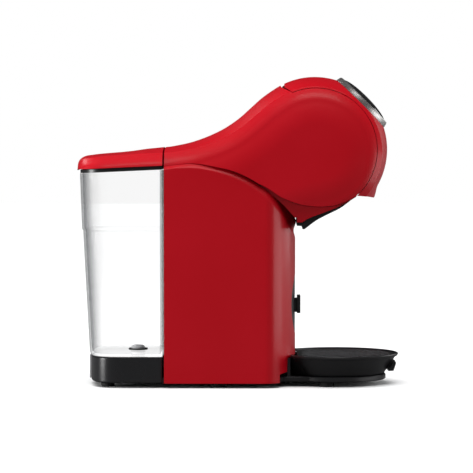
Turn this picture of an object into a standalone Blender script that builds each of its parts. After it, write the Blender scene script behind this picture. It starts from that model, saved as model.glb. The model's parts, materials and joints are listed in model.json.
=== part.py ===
"""Pod coffee machine: round brew head on a slim column, clear tank behind, round drip tray in front.

Frame: +X is the front, +Y the machine's left, +Z up, origin on the floor under the middle of the
overall box. Every value below is in millimetres; meshes are scaled to metres as they are made.
"""
import math

import bmesh
import bpy
from mathutils import Matrix, Vector

MM = 0.001

# Driving sizes -------------------------------------------------------------------------------
HALF_WIDTH = 55.5            # flat side of the brew head
HEAD_X = 68.5                # centre of the round head
HEAD_Z = 210.8
HEAD_R = 65.1                # crown of the head at the middle plane
TANK_REAR_X = -141.9         # back of the tank at its top
COLUMN_FRONT_X = 51.1
WALL = 2.5                   # red shells
GAP = 0.35                   # between pieces that meet
SEAM = 0.5                   # half of a visible seam

# Upper shell across its width: crown, soft ridge, rounded shoulder, domed cheek
RIDGE_Y = HALF_WIDTH - 15.5
SHOULDER_DEPTH = 14.0
CHEEK_Y = HALF_WIDTH - 3.0   # where the shoulder passes into the cheek
CHEEK_DEPTH = 20.0
TOP_DROP = 9.0               # crown to ridge on top of the head
FRONT_DROP = 6.2
LIP_DROP = 4.5
SEAM_R = 54.4                # circular seam between head side and locking handle
SEAM_START = 112.0
SEAM_END = -48.0
NECK_ANGLE = 124.0            # the crown's circle starts here, behind the top of the head
LIP_ANGLE = -36.0
SHELL_FLOOR = HEAD_Z - 80.0   # the shells are closed here before they are trimmed

# Locking handle
HINGE_X = HEAD_X - 27.0
HINGE_Z = HEAD_Z + 54.7
HINGE_PIN_R = 1.3
HINGE_HALF = 9.5             # half the length of the handle's knuckle
BRACKET_THICK = 3.0
BRACKET_REACH = 6.0          # hinge bracket behind its pin
BRACKET_LOW = HEAD_Z + 25.6
NOTCH_REAR = HINGE_X - 2.9   # rear of the gap behind the handle
NOTCH_FRONT = HINGE_X - 0.3
NOTCH_LEAN = 0.9

# Dial on the handle, its axis leaning forward by 45 degrees
DIAL_OFFSET = 57.5           # head centre to the flat that carries the dial
DIAL_R = 30.0
DIAL_HEIGHT = 5.2
DIAL_RIM = 3.0
DOME_RISE = 4.6

# Capsule holder and brew unit
HOLDER_R = 31.0
CUP_R = HOLDER_R - 6.0
HOLDER_TOP = HEAD_Z - 4.8
HOLDER_BOTTOM = HEAD_Z - 40.0
INJECTOR_R = HOLDER_R - 3.0
FRAME_SIDE = HOLDER_R + 5.0  # inside of the brew frame
FRAME_WALL = 3.0
FRAME_LOW = HEAD_Z - 38.0
OUTLET_BORE_R = 10.0

# Lower body
BODY_HALF = HALF_WIDTH - 1.5
BODY_REAR_X = -65.2
FLAT_END_X = 24.0            # flat sides end and the rounded front starts
CASING_BOTTOM = 4.4
CHIN_HALF = HALF_WIDTH - 5.0
OUTLET_HALF = BODY_HALF - 12.0
TOE_X = 43.9                 # front of the column's foot
TOE_TOP = 26.8
TOE_HALF = 34.0

# Tank, lid and base
TANK_FRONT_X = -66.6
TANK_HALF = HALF_WIDTH - 2.5
TANK_TOP = HEAD_Z - 21.3
TANK_FLOOR = 28.0
TANK_WALL = 2.0
STEP_Z = HEAD_Z - 71.3
LID_BOTTOM = HEAD_Z - 17.4
LID_HALF = HALF_WIDTH - 1.0
LID_PIN_R = 0.75
LID_AXIS_X = TANK_FRONT_X - 2.4
LID_AXIS_Z = HEAD_Z - 0.7
LID_AXIS = (LID_AXIS_X, 0.0, LID_AXIS_Z)
RIM_RISE = 3.4               # the tank's rim and the lid's edge climb this much towards the front
VALVE_X = -90.6
VALVE_R = 6.1
REAR_CORNER = 29.0           # length of the rounded rear end in plan
BASE_REAR_X = TANK_REAR_X + 9.9
BASE_HALF = HALF_WIDTH - 3.2
BASE_TOP = 27.2
FLOOR_TOP = 9.2
BASE_WALL = 3.0
PANEL_X = BODY_REAR_X + 0.8  # back of the wall between the machine and the tank
PANEL_THICK = 2.2
GLAND = (BASE_REAR_X, 22.0, 14.0)
GLAND_R = 4.7

# Drip tray
TRAY_X = 88.3
TRAY_R = 55.8
TRAY_BOTTOM_R = 43.5
TRAY_BACK_X = 46.8
TRAY_TOP = 28.0
TRAY_BOTTOM = 9.6
TRAY_WALL = 2.0
CRADLE_R = TRAY_BOTTOM_R + 1.0
GRID_THICK = 1.8
GRID_SLOTS = 7

FOOT_R = 6.0
FOOT_HEIGHT = 4.1
FOOT_PLACES = (("rear", -116.0, 32.0), ("middle", -17.0, 38.0), ("front", 79.0, 34.0))
INSET_R = 27.0
INSET_Z = 72.0

# Inside the column
PUMP_R = 17.0
PUMP_Y = -16.0
PUMP_Z = 42.0
MOUNT_R = 22.0
HOSE_R = 2.6
THIN_HOSE_R = 2.2

# Materials: colour, roughness, metallic
FINISHES = {
    "red_gloss": ((0.42, 0.004, 0.012), 0.18, 0.0),
    "black_plastic": ((0.018, 0.018, 0.019), 0.42, 0.0),
    "gloss_black": ((0.006, 0.006, 0.007), 0.08, 0.0),
    "brushed_metal": ((0.52, 0.51, 0.50), 0.32, 1.0),
    "steel": ((0.55, 0.55, 0.56), 0.25, 1.0),
    "clear_plastic": ((0.86, 0.90, 0.93), 0.05, 0.0),
    "grey_plastic": ((0.30, 0.30, 0.31), 0.45, 0.0),
    "grid_metal": ((0.42, 0.42, 0.43), 0.22, 1.0),
    "rubber": ((0.02, 0.02, 0.02), 0.85, 0.0),
    "silicone": ((0.70, 0.69, 0.66), 0.55, 0.0),
    "board_green": ((0.03, 0.16, 0.07), 0.5, 0.0),
    "aluminium": ((0.62, 0.62, 0.63), 0.4, 1.0),
    "display_glass": ((0.04, 0.05, 0.06), 0.1, 0.0),
}


# Building blocks -----------------------------------------------------------------------------
def clear_scene():
    for obj in list(bpy.data.objects):
        bpy.data.objects.remove(obj, do_unlink=True)


def make_materials():
    made = {}
    for name, (colour, roughness, metallic) in FINISHES.items():
        material = bpy.data.materials.new(name)
        material.use_nodes = True
        shader = material.node_tree.nodes["Principled BSDF"]
        shader.inputs["Base Color"].default_value = (*colour, 1.0)
        shader.inputs["Roughness"].default_value = roughness
        shader.inputs["Metallic"].default_value = metallic
        made[name] = material
    return made


def solid(name, points, faces, finish=None):
    """One closed mesh from points in millimetres; without a finish it is a hidden tool."""
    mesh = bpy.data.meshes.new(name)
    mesh.from_pydata([Vector(p) * MM for p in points], [], faces)
    shape = bmesh.new()
    shape.from_mesh(mesh)
    bmesh.ops.recalc_face_normals(shape, faces=shape.faces)
    shape.to_mesh(mesh)
    shape.free()
    mesh.shade_smooth()
    mesh.set_sharp_from_angle(angle=math.radians(35))
    obj = bpy.data.objects.new(name, mesh)
    bpy.context.collection.objects.link(obj)
    if finish is None:
        obj.hide_render = True
        obj.display_type = "WIRE"
    else:
        mesh.materials.append(MATERIALS[finish])
    return obj


def loft(name, rings, finish=None):
    """Skin equal rings of points one after the other and cap both ends."""
    count = len(rings[0])
    points = [p for ring in rings for p in ring]
    faces = [list(range(count))]
    for level in range(len(rings) - 1):
        low = level * count
        high = low + count
        for i in range(count):
            j = (i + 1) % count
            faces.append([low + i, low + j, high + j, high + i])
    faces.append(list(range(len(points) - count, len(points))))
    return solid(name, points, faces, finish)


def prism_y(name, outline, y0, y1, finish=None):
    return loft(name, [[(x, y, z) for x, z in outline] for y in (y0, y1)], finish)


def prism_z(name, outline, z0, z1, finish=None):
    return loft(name, [[(x, y, z) for x, y in outline] for z in (z0, z1)], finish)


def box(name, x, y, z, finish=None):
    outline = [(x[0], z[0]), (x[1], z[0]), (x[1], z[1]), (x[0], z[1])]
    return prism_y(name, outline, y[0], y[1], finish)


TURNS = {
    "Z": Matrix.Identity(3),
    "X": Matrix.Rotation(math.pi / 2, 3, "Y"),
    "Y": Matrix.Rotation(-math.pi / 2, 3, "X"),
    "DIAL": Matrix.Rotation(math.pi / 4, 3, "Y"),
}


def turned(name, profile, place, axis="Z", finish=None, steps=24):
    """Revolve (radius, height) pairs; a profile that starts and ends on the axis is a solid."""
    is_ring = profile[0][0] > 0
    turn = TURNS[axis]
    centre = Vector(place)
    flat_start = not is_ring and profile[0][1] == profile[1][1]
    flat_end = not is_ring and profile[-1][1] == profile[-2][1]
    shape = profile[1 if flat_start else 0:-1 if flat_end else None]
    points = []
    rows = []
    for radius, height in shape:
        row = []
        for step in range(steps if radius > 0 else 1):
            angle = math.tau * step / steps
            local = Vector((radius * math.cos(angle), radius * math.sin(angle), height))
            row.append(len(points))
            points.append(centre + turn @ local)
        rows.append(row)
    faces = []
    if flat_start:
        faces.append(list(rows[0]))
    if flat_end:
        faces.append(list(rows[-1]))
    if is_ring:
        rows.append(rows[0])
    for low, high in zip(rows, rows[1:]):
        for i in range(steps):
            j = (i + 1) % steps
            if len(low) == 1:
                faces.append([low[0], high[i], high[j]])
            elif len(high) == 1:
                faces.append([low[i], low[j], high[0]])
            else:
                faces.append([low[i], low[j], high[j], high[i]])
    return solid(name, points, faces, finish)


def disc(name, radius, h0, h1, place, axis="Z", finish=None, steps=24):
    return turned(name, [(0, h0), (radius, h0), (radius, h1), (0, h1)], place, axis, finish, steps)


def washer(name, outer, inner, h0, h1, place, axis="Z", finish=None, steps=24):
    return turned(name, [(outer, h0), (outer, h1), (inner, h1), (inner, h0)], place, axis, finish, steps)


def combine(obj, tool, operation):
    step = obj.modifiers.new(tool.name, "BOOLEAN")
    step.operation = operation
    step.solver = "EXACT"
    step.object = tool
    tool.hide_render = True
    tool.display_type = "WIRE"
    return obj


def cut(obj, *tools):
    for tool in tools:
        combine(obj, tool, "DIFFERENCE")
    return obj


def add(obj, *tools):
    for tool in tools:
        combine(obj, tool, "UNION")
    return obj


def hose(name, points, radius, finish):
    """A tube along a smooth curve through the given points."""
    curve = bpy.data.curves.new(name, "CURVE")
    curve.dimensions = "3D"
    curve.bevel_depth = radius * MM
    curve.bevel_resolution = 1
    curve.use_fill_caps = True
    path = smooth_path([Vector(p) for p in points], 5)
    line = curve.splines.new("POLY")
    line.points.add(len(path) - 1)
    for slot, place in zip(line.points, path):
        slot.co = (*(place * MM), 1.0)
    obj = bpy.data.objects.new(name, curve)
    curve.materials.append(MATERIALS[finish])
    bpy.context.collection.objects.link(obj)
    return obj


def smooth_path(points, steps):
    """Catmull-Rom curve through the points."""
    ends = [points[0] * 2 - points[1], *points, points[-1] * 2 - points[-2]]
    path = [points[0]]
    for a, b, c, d in zip(ends, ends[1:], ends[2:], ends[3:]):
        for step in range(1, steps + 1):
            t = step / steps
            path.append(0.5 * (2 * b + (c - a) * t + (2 * a - 5 * b + 4 * c - d) * t ** 2
                               + (3 * b - a - 3 * c + d) * t ** 3))
    return path


# Outlines ------------------------------------------------------------------------------------
def on_head(radius, degrees):
    angle = math.radians(degrees)
    return (HEAD_X + radius * math.cos(angle), HEAD_Z + radius * math.sin(angle))


def head_drop(degrees):
    """How far the soft ridge lies inside the crown, round the head."""
    if degrees > 0:
        return FRONT_DROP + (TOP_DROP - FRONT_DROP) * min(degrees / 70.0, 1.0)
    return FRONT_DROP + (LIP_DROP - FRONT_DROP) * degrees / LIP_ANGLE


def crown_line(steps):
    """(x, z, drop) along the crown: tank seam, neck, round head, lip, then straight down."""
    neck = [(-150.0, 0.2, 5.0), (-65.0, 2.2, 5.0), (-59.6, 2.85, 5.1), (-45.8, 5.6, 5.7), (-34.3, 9.1, 6.4),
            (-22.9, 13.7, 7.0), (-11.4, 19.6, 7.5), (0.1, 27.5, 7.8), (9.3, 35.6, 8.2), (19.4, 44.8, 8.6),
            (26.0, 49.9, 8.9)]
    line = [(x, HEAD_Z + z, drop) for x, z, drop in neck]
    for i in range(steps + 1):
        degrees = NECK_ANGLE + (LIP_ANGLE - NECK_ANGLE) * i / steps
        line.append((*on_head(HEAD_R, degrees), head_drop(degrees)))
    front_x = line[-1][0]
    line.append((front_x + 0.4, HEAD_Z - 42.0, LIP_DROP))
    line.append((front_x - 8.0, SHELL_FLOOR, LIP_DROP))
    line.append((-150.0, SHELL_FLOOR, 5.0))
    return line


def shell_rings(line, inset):
    """Rings across the width: crown, ridge, rounded shoulder and cheek, moved in by inset."""
    count = len(line)
    inward = []
    for i in range(count):
        before = Vector(line[i - 1][:2])
        after = Vector(line[(i + 1) % count][:2])
        along = (after - before).normalized()
        inward.append(Vector((along.y, -along.x)))
    profile = []
    bulge = HALF_WIDTH - CHEEK_Y
    for share in (1.0, 0.6, 0.3):
        depth = SHOULDER_DEPTH - inset + CHEEK_DEPTH * share
        profile.append((CHEEK_Y - inset + bulge * (1 - (1 - share) ** 2), 1.0, depth))
    shoulder = CHEEK_Y - RIDGE_Y - inset
    for degrees in (90, 60, 35, 15):
        angle = math.radians(degrees)
        fall = (SHOULDER_DEPTH - inset) * (1 - math.cos(angle))
        profile.append((RIDGE_Y + shoulder * math.sin(angle), 1.0, fall))
    profile += [(RIDGE_Y, 1.0, 0.0), (RIDGE_Y / 2, 0.25, 0.0), (0.0, 0.0, 0.0)]
    half = [(-y, share, fall) for y, share, fall in profile]
    rows = half + [(y, share, fall) for y, share, fall in reversed(profile[:-1])]
    rings = []
    for y, share, fall in rows:
        ring = []
        for (x, z, drop), direction in zip(line, inward):
            place = Vector((x, z)) + direction * (drop * share + fall + inset)
            ring.append((place.x, y, place.y))
        rings.append(ring)
    return rings


def handle_region(gap):
    """Side outline of the space that the locking handle takes."""
    rear, lean = (NOTCH_FRONT, 0.0) if gap > 0 else (NOTCH_REAR, NOTCH_LEAN)
    outline = [(rear - lean, HEAD_Z + 90), (rear - lean, HINGE_Z + 2.4), (rear, HINGE_Z + 0.7)]
    for i in range(17):
        degrees = SEAM_START + (SEAM_END - SEAM_START) * i / 16
        outline.append(on_head(SEAM_R + gap, degrees))
    end_x, end_z = outline[-1]
    if gap > 0:
        outline += [(end_x + 9.7, HEAD_Z - 41.5), (end_x + 16.5, HEAD_Z - 43.1)]
        outline.append((end_x + 50, HEAD_Z - 43.1))
    else:
        outline += [(end_x, HEAD_Z - 90), (end_x + 50, HEAD_Z - 90)]
    outline.append((end_x + 50, HEAD_Z + 90))
    return outline


def waist_line():
    """Top edge of the lower body casing, from the tank seam to the front."""
    line = [(-75.0, -14.4), (-64.2, -14.1), (-45.1, -11.9), (-34.2, -12.3), (-22.8, -14.3), (-7.8, -17.5),
            (4.0, -21.9), (15.8, -28.2), (27.6, -36.5), (39.4, -46.6), (48.4, -56.3), (56.0, -64.4)]
    return [(x, HEAD_Z + z) for x, z in line]


def bulge_line():
    """Lower edge of the round head."""
    line = [(21.0, -31.0), (27.4, -34.6), (37.1, -41.2), (45.1, -44.8), (53.9, -47.9), (63.0, -49.5),
            (74.8, -50.1), (86.5, -48.8), (98.4, -44.2), (104.5, -40.9)]
    return [(x, HEAD_Z + z) for x, z in line]


def chin_line():
    """Underside of the red chin, from the front back to the column."""
    line = [(99.4, -44.6), (86.8, -51.3), (77.3, -55.0), (71.9, -57.0), (65.8, -59.3), (61.0, -61.4),
            (57.0, -64.2), (52.2, -64.4)]
    return [(x, HEAD_Z + z) for x, z in line]


def column_plan(inset, front=COLUMN_FRONT_X, rear=BODY_REAR_X, steps=16):
    """Flat sides and an elliptical front, seen from above."""
    half = BODY_HALF - inset
    length = front - inset - FLAT_END_X
    outline = [(rear, -half)]
    for i in range(steps + 1):
        angle = math.pi * (i / steps - 0.5)
        outline.append((FLAT_END_X + length * math.cos(angle), half * math.sin(angle)))
    outline.append((rear, half))
    return outline


def rear_plan(front_x, rear_x, half, steps=14):
    """Flat front and a full, square-ish round rear, seen from above."""
    outline = [(front_x, half)]
    for i in range(steps + 1):
        angle = math.pi * (i / steps - 0.5)
        bend = math.cos(angle)
        across = math.sin(angle)
        x = rear_x + REAR_CORNER - REAR_CORNER * bend ** (2 / 3) if bend > 1e-9 else rear_x + REAR_CORNER
        outline.append((x, -math.copysign(abs(across) ** (2 / 3), across) * half))
    outline.append((front_x, -half))
    outline[1:-1] = sorted(outline[1:-1], key=lambda p: -p[1])
    return outline


def tray_plan(radius, back_x, steps=32):
    """A circle with a flat at the back."""
    reach = math.acos(max(-1.0, (back_x - TRAY_X) / radius))
    return [(TRAY_X + radius * math.cos(a), radius * math.sin(a))
            for a in (reach * (2 * i / steps - 1) for i in range(steps + 1))]


def dial_place(height):
    """A point on the dial's axis, height above the flat."""
    reach = (DIAL_OFFSET + height) / math.sqrt(2)
    return (HEAD_X + reach, 0.0, HEAD_Z + reach)


# Upper red shell -----------------------------------------------------------------------------
def head_shell(name, finish):
    line = crown_line(18)
    shell = loft(name, shell_rings(line, 0.0), finish)
    return cut(shell, loft(name + "_hollow", shell_rings(line, WALL)))


def head_casing():
    """Neck saddle, both sides of the round head and its bulging lower edge."""
    casing = head_shell("head_casing", "red_gloss")
    wide = HALF_WIDTH + 10
    rear = box("head_rear_cut", (-200, BODY_REAR_X), (-wide, wide), (HEAD_Z - 120, HEAD_Z + 90))
    waist = [p for p in waist_line() if p[0] < 20]
    low = [(-200, waist[0][1] + SEAM)] + [(x, z + SEAM) for x, z in waist]
    low += bulge_line() + [(110, HEAD_Z - 38), (160, HEAD_Z - 38)]
    low += [(160, HEAD_Z - 130), (-200, HEAD_Z - 130)]
    under = prism_y("head_under_cut", low, -wide, wide)
    front = prism_y("head_front_cut", handle_region(-SEAM / 2), -wide, wide)
    return cut(casing, rear, under, front, *hinge_reliefs("head", True))


def locking_handle():
    """Visor round the head with a flat for the dial and a finger lip; swings about its rear edge."""
    handle = head_shell("locking_handle", "red_gloss")
    wide = HALF_WIDTH + 10
    combine(handle, prism_y("handle_space", handle_region(SEAM / 2), -wide, wide), "INTERSECT")
    x, _, z = dial_place(0)
    flat = [(x - 60, z + 60), (x + 60, z - 60), (x + 120, z), (x, z + 120)]
    add(handle, disc("handle_dial_seat", DIAL_R + 1.2, -WALL - 3.0, -1.0, (x, 0, z), "DIAL"))
    cut(handle, prism_y("handle_flat_cut", flat, -wide, wide))
    cut(handle, disc("handle_dial_bore", 18.0, -12, 6, (x, 0, z), "DIAL"))
    hinge = (HINGE_X, 0, HINGE_Z)
    add(handle, disc("handle_knuckle", HINGE_PIN_R + 1.3, -HINGE_HALF, HINGE_HALF, hinge, "Y", steps=16))
    cut(handle, *hinge_reliefs("handle", False))
    cut(handle, disc("handle_pin_bore", HINGE_PIN_R + GAP, -20, 20, hinge, "Y", steps=12))
    return handle


def nosed_outline(x, z, nose, back, low):
    """Side outline of an upright with a round nose about (x, z)."""
    outline = [(x - back, low), (x + nose, low)]
    for degrees in (0, 30, 60, 90, 120):
        angle = math.radians(degrees)
        outline.append((x + nose * math.cos(angle), z + nose * math.sin(angle)))
    outline.append((x - back, z + (0.0 if back <= nose else -2.0)))
    return outline


def hinge_bracket_outline(gap):
    nose = HINGE_PIN_R + 1.0 + gap
    return nosed_outline(HINGE_X, HINGE_Z, nose, BRACKET_REACH + gap, BRACKET_LOW - gap)


def hinge_reliefs(name, knuckle_room):
    """Room for both hinge brackets and, in the fixed casing, for the turning knuckle."""
    tools = []
    for side in (-1, 1):
        y = sorted((side * (HINGE_HALF - 0.1), side * (HINGE_HALF + BRACKET_THICK + 1.0)))
        tools.append(prism_y("%s_relief_%d" % (name, side), hinge_bracket_outline(0.6), *y))
    if knuckle_room:
        tools.append(disc(name + "_knuckle_room", HINGE_PIN_R + 1.9, -HINGE_HALF - 1, HINGE_HALF + 1,
                          (HINGE_X, 0, HINGE_Z), "Y", steps=16))
    return tools


def handle_hinge_pieces():
    """Pin and the two brackets that carry it behind the notch."""
    place = (HINGE_X, 0, HINGE_Z)
    pin_half = HINGE_HALF + BRACKET_THICK + 0.2
    disc("handle_pin", HINGE_PIN_R, -pin_half, pin_half, place, "Y", "steel", steps=12)
    for side, name in ((-1, "right"), (1, "left")):
        y = sorted((side * (HINGE_HALF + 0.4), side * (HINGE_HALF + 0.4 + BRACKET_THICK)))
        bracket = prism_y("hinge_bracket_" + name, hinge_bracket_outline(0.0), *y, "steel")
        cut(bracket, disc("bracket_bore_" + name, HINGE_PIN_R + GAP, -40, 40, place, "Y", steps=12))


def chin_taper(inset):
    """Block whose sides lean in towards the outlet."""
    high = CHIN_HALF + 1.0 - inset
    low = OUTLET_HALF + 1.0 - inset
    outline = [(high, HEAD_Z - 10), (high, HEAD_Z - 40), (low, HEAD_Z - 66), (low, HEAD_Z - 75)]
    outline += [(-y, z) for y, z in reversed(outline)]
    return loft("chin_taper_%d" % (inset > 0), [[(x, y, z) for y, z in outline] for x in (-10, 150)])


def chin_cover():
    """Red shell under the head, narrowing down to the outlet."""
    outline = [(x, z - SEAM) for x, z in bulge_line()] + chin_line()
    waist = [(x, z + SEAM) for x, z in waist_line() if 20 < x < 50]
    outline += [(52.2, HEAD_Z - 59.4)] + waist[::-1]
    chin = prism_y("chin_cover", outline, -CHIN_HALF, CHIN_HALF, "red_gloss")
    combine(chin, chin_taper(0.0), "INTERSECT")
    inner = [(x - 1.5 * (x > 95), z + WALL) for x, z in chin_line()]
    inner = [(95.5, HEAD_Z - 20)] + inner[1:-1] + [(54.7, HEAD_Z - 60), (54.7, HEAD_Z - 20)]
    half = CHIN_HALF - WALL
    cut(chin, combine(prism_y("chin_hollow", inner, -half, half), chin_taper(WALL), "INTERSECT"))
    neck = [(16, HEAD_Z - 70), (52.0 - WALL, HEAD_Z - 70), (52.0 - WALL, HEAD_Z - 20), (16, HEAD_Z - 20)]
    cut(chin, prism_y("chin_neck_hollow", neck, -half, half))
    cut(chin, disc("chin_outlet_bore", 14.0, -80, -30, (HEAD_X, 0, HEAD_Z)))
    return chin


def outlet_frame():
    """Black scoop under the chin with the square outlet block at its rear."""
    top = [(x, z - GAP) for x, z in chin_line()]
    low = [(56.2, -71.1), (58.0, -71.0), (61.0, -68.8), (69.0, -62.8), (79.0, -57.4), (90.0, -52.0),
           (98.4, -45.9)]
    outline = top + [(52.2, HEAD_Z - 71.1)] + [(x, HEAD_Z + z) for x, z in low]
    frame = prism_y("outlet_frame", outline, -OUTLET_HALF, OUTLET_HALF, "black_plastic")
    return cut(frame, disc("outlet_bore", OUTLET_BORE_R, -90, -30, (HEAD_X, 0, HEAD_Z)))


# Brew unit inside the head -------------------------------------------------------------------
def brew_frame():
    """Black bridge over the capsule holder, open below and in front."""
    rear = HEAD_X - FRAME_SIDE - 1.0
    front = HEAD_X + HOLDER_R - 2.0
    half = FRAME_SIDE + FRAME_WALL
    high = HEAD_Z + 25.0
    frame = box("brew_frame", (rear, front), (-half, half), (FRAME_LOW, high), "black_plastic")
    slot = box("brew_frame_slot", (rear + FRAME_WALL, front + 10), (-FRAME_SIDE, FRAME_SIDE),
               (FRAME_LOW - 5, high - FRAME_WALL))
    cut(frame, slot, disc("brew_frame_bore", 8.0, 0, 40, (HEAD_X, 0, HEAD_Z)))
    box("holder_switch", (rear + 3.5, rear + 9.5), (HOLDER_R - 10, HOLDER_R), (HEAD_Z + 14, HEAD_Z + 20),
        "grey_plastic")
    return frame


def capsule_holder():
    """Drawer with the capsule cup and a grip in front."""
    place = (HEAD_X, 0, 0)
    low = HOLDER_BOTTOM
    top = HOLDER_TOP
    outer = [(0, low), (10.0, low), (CUP_R + 2, low + 6), (CUP_R + 2, top - 6)]
    outer += [(HOLDER_R, top - 5), (HOLDER_R, top), (0, top)]
    cup = [(0, low + 3), (9.0, low + 3), (CUP_R, low + 8), (CUP_R, top + 5), (0, top + 5)]
    holder = turned("capsule_holder", outer, place, "Z", "black_plastic", 28)
    reach = (HEAD_X + CUP_R + 0.8, HEAD_X + HOLDER_R + 3)
    add(holder, box("holder_grip", reach, (-12, 12), (top - 22, top - 1)))
    cut(holder, turned("holder_cup", cup, place, "Z", None, 28))
    return cut(holder, disc("holder_outlet", 5.0, low - 5, low + 5, place, steps=16))


def injector():
    """Plate, needle and seal that come down on the capsule."""
    place = (HEAD_X, 0, 0)
    low = HOLDER_TOP + 3.2
    plate = disc("injector_plate", INJECTOR_R, low, low + 4.5, place, "Z", "grey_plastic")
    add(plate, disc("injector_stem", 6.0, low + 2, low + 24, place))
    cut(plate, disc("injector_bore", 1.3, low - 1, low + 30, place, steps=10))
    needle = [(0, low - 2.7), (0.9, low + 0.5), (0.9, low + 12), (0, low + 12)]
    turned("injector_needle", needle, place, "Z", "steel", 10)
    washer("brew_gasket", CUP_R + 2, CUP_R - 2, HOLDER_TOP + 0.8, low - 0.4, place, "Z", "silicone")
    return plate


# Dial ----------------------------------------------------------------------------------------
def dial():
    place = dial_place(0)
    inner = DIAL_R - DIAL_RIM
    ring = [(DIAL_R, GAP), (DIAL_R - 1.0, DIAL_HEIGHT - 0.6), (DIAL_R - 1.6, DIAL_HEIGHT)]
    ring += [(inner, DIAL_HEIGHT - 0.4), (inner, GAP)]
    turned("selector_ring", ring, place, "DIAL", "brushed_metal", 48)
    top = inner - GAP - 0.2
    edge = DIAL_HEIGHT - 0.8
    dome = [(0, 2.8), (top, 2.8), (top, edge)]
    for i in range(1, 5):
        angle = math.pi / 2 * i / 5
        dome.append((top * math.cos(angle), edge + DOME_RISE * math.sin(angle)))
    dome.append((0, edge + DOME_RISE))
    turned("start_button", dome, place, "DIAL", "gloss_black", 32)
    washer("dial_base", 17.6, 7.0, -WALL - 2.0, 0.9, place, "DIAL", "black_plastic")
    washer("display_ring", top - 1.5, 18.6, GAP, 0.95, place, "DIAL", "display_glass")
    washer("button_spring", 6.0, 4.6, -3.6, 1.0, place, "DIAL", "steel", 16)
    disc("dial_board", 15.0, -7.2, -5.8, place, "DIAL", "board_green")


# Lower body ----------------------------------------------------------------------------------
def body_casing():
    casing = prism_z("body_casing", column_plan(0.0), CASING_BOTTOM, HEAD_Z, "red_gloss")
    hollow = column_plan(WALL, rear=BODY_REAR_X - 10)
    cut(casing, prism_z("body_hollow", hollow, CASING_BOTTOM - 5, HEAD_Z + 5))
    wide = BODY_HALF + 10
    top = waist_line() + [(90, HEAD_Z - 64.4), (90, HEAD_Z + 20), (-75, HEAD_Z + 20)]
    cut(casing, prism_y("body_top_cut", top, -wide, wide))
    toe = [(90, TOE_TOP), (49.9, TOE_TOP), (TOE_X + 0.2, TOE_TOP - 1.0), (TOE_X - 0.3, 13.5)]
    toe += [(37.2, 12.0), (37.0, 0), (90, 0)]
    cut(casing, prism_y("body_toe_cut", toe, -wide, wide))
    cut(casing, disc("body_inset_bore", INSET_R, -10, 10, (COLUMN_FRONT_X, 0, INSET_Z), "X", steps=32))
    return casing


def column_inset():
    """Round black plate, flush in the column, slotted for the hook that carries the tray at cup height."""
    plate = prism_z("column_inset", column_plan(0.2), INSET_Z - 40, INSET_Z + 40, "black_plastic")
    cut(plate, prism_z("inset_back", column_plan(WALL, rear=-80), INSET_Z - 50, INSET_Z + 50))
    face = (COLUMN_FRONT_X, 0, INSET_Z)
    combine(plate, disc("inset_round", INSET_R - GAP, -8, 10, face, "X", steps=32), "INTERSECT")
    through = (COLUMN_FRONT_X - 11, COLUMN_FRONT_X + 9)
    return cut(plate, box("inset_slot", through, (-7, 7), (INSET_Z - 9, INSET_Z + 8.4)))


def tray_hook():
    front = COLUMN_FRONT_X
    height = (INSET_Z - 8.3, INSET_Z + 7.5)
    stem = (INSET_Z - 7.5, INSET_Z + 5)
    hook = box("tray_hook", (front - 4, front + 2.4), (-5, 5), stem, "black_plastic")
    return add(hook, box("tray_hook_head", (front + 1.6, front + 4.7), (-9, 9), height))


def back_panel():
    """Black wall between the machine's inside and the tank."""
    half = BODY_HALF - WALL - GAP
    height = (FLOOR_TOP + 2.0, HEAD_Z - 15.5)
    return box("back_panel", (PANEL_X, PANEL_X + PANEL_THICK), (-half, half), height, "black_plastic")


def chassis():
    """Tank seat, floor of the column and the cradle that carries the tray, in one piece."""
    plan = rear_plan(BODY_REAR_X - 1.5, BASE_REAR_X, BASE_HALF)
    seat = prism_z("chassis_base", plan, CASING_BOTTOM, BASE_TOP, "black_plastic")
    plate = column_plan(WALL + GAP + 0.3, rear=BODY_REAR_X - 6)
    plate = [(min(x, 43.0), y) for x, y in plate]
    add(seat, prism_z("chassis_floor", plate, CASING_BOTTOM + 0.2, FLOOR_TOP))
    cradle = tray_plan(CRADLE_R, 60.0)
    cradle = [(38.5, cradle[0][1])] + cradle + [(38.5, cradle[-1][1])]
    add(seat, prism_z("chassis_cradle", cradle, CASING_BOTTOM + 0.1, FLOOR_TOP - 0.1))
    toe = box("chassis_toe", (TOE_X + 0.6, TRAY_BACK_X - GAP), (-TOE_HALF, TOE_HALF), (8.0, TOE_TOP - 1.4))
    add(seat, toe)
    pocket = rear_plan(BODY_REAR_X - 5, BASE_REAR_X + BASE_WALL, BASE_HALF - BASE_WALL)
    cut(seat, prism_z("chassis_pocket", pocket, CASING_BOTTOM - 5, BASE_TOP - BASE_WALL))
    cut(seat, disc("chassis_socket_bore", 8.0, 10, 40, (VALVE_X, 0, 0)))
    cut(seat, disc("chassis_gland_bore", GLAND_R + 0.3, -8, 8, GLAND, "X", steps=16))
    return seat


def base_fittings():
    """Socket under the tank's valve, cord gland and the grey strip at the back of the base."""
    washer("tank_socket", 7.6, 2.5, BASE_TOP - 8, BASE_TOP + 0.2, (VALVE_X, 0, 0), "Z", "grey_plastic")
    washer("cord_gland", GLAND_R, 2.2, -2.2, 3.4, GLAND, "X", "rubber", 16)
    box("rear_strip", (BASE_REAR_X - 1.8, BASE_REAR_X - 0.4), (-9, 9), (CASING_BOTTOM + 1, BASE_TOP - 1),
        "grey_plastic")


def feet():
    profile = [(0, 0), (FOOT_R - 0.8, 0), (FOOT_R, 0.8), (FOOT_R, FOOT_HEIGHT), (0, FOOT_HEIGHT)]
    for where, x, y in FOOT_PLACES:
        turned("foot_%s_left" % where, profile, (x, y, 0), "Z", "rubber", 16)
        turned("foot_%s_right" % where, profile, (x, -y, 0), "Z", "rubber", 16)


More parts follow.
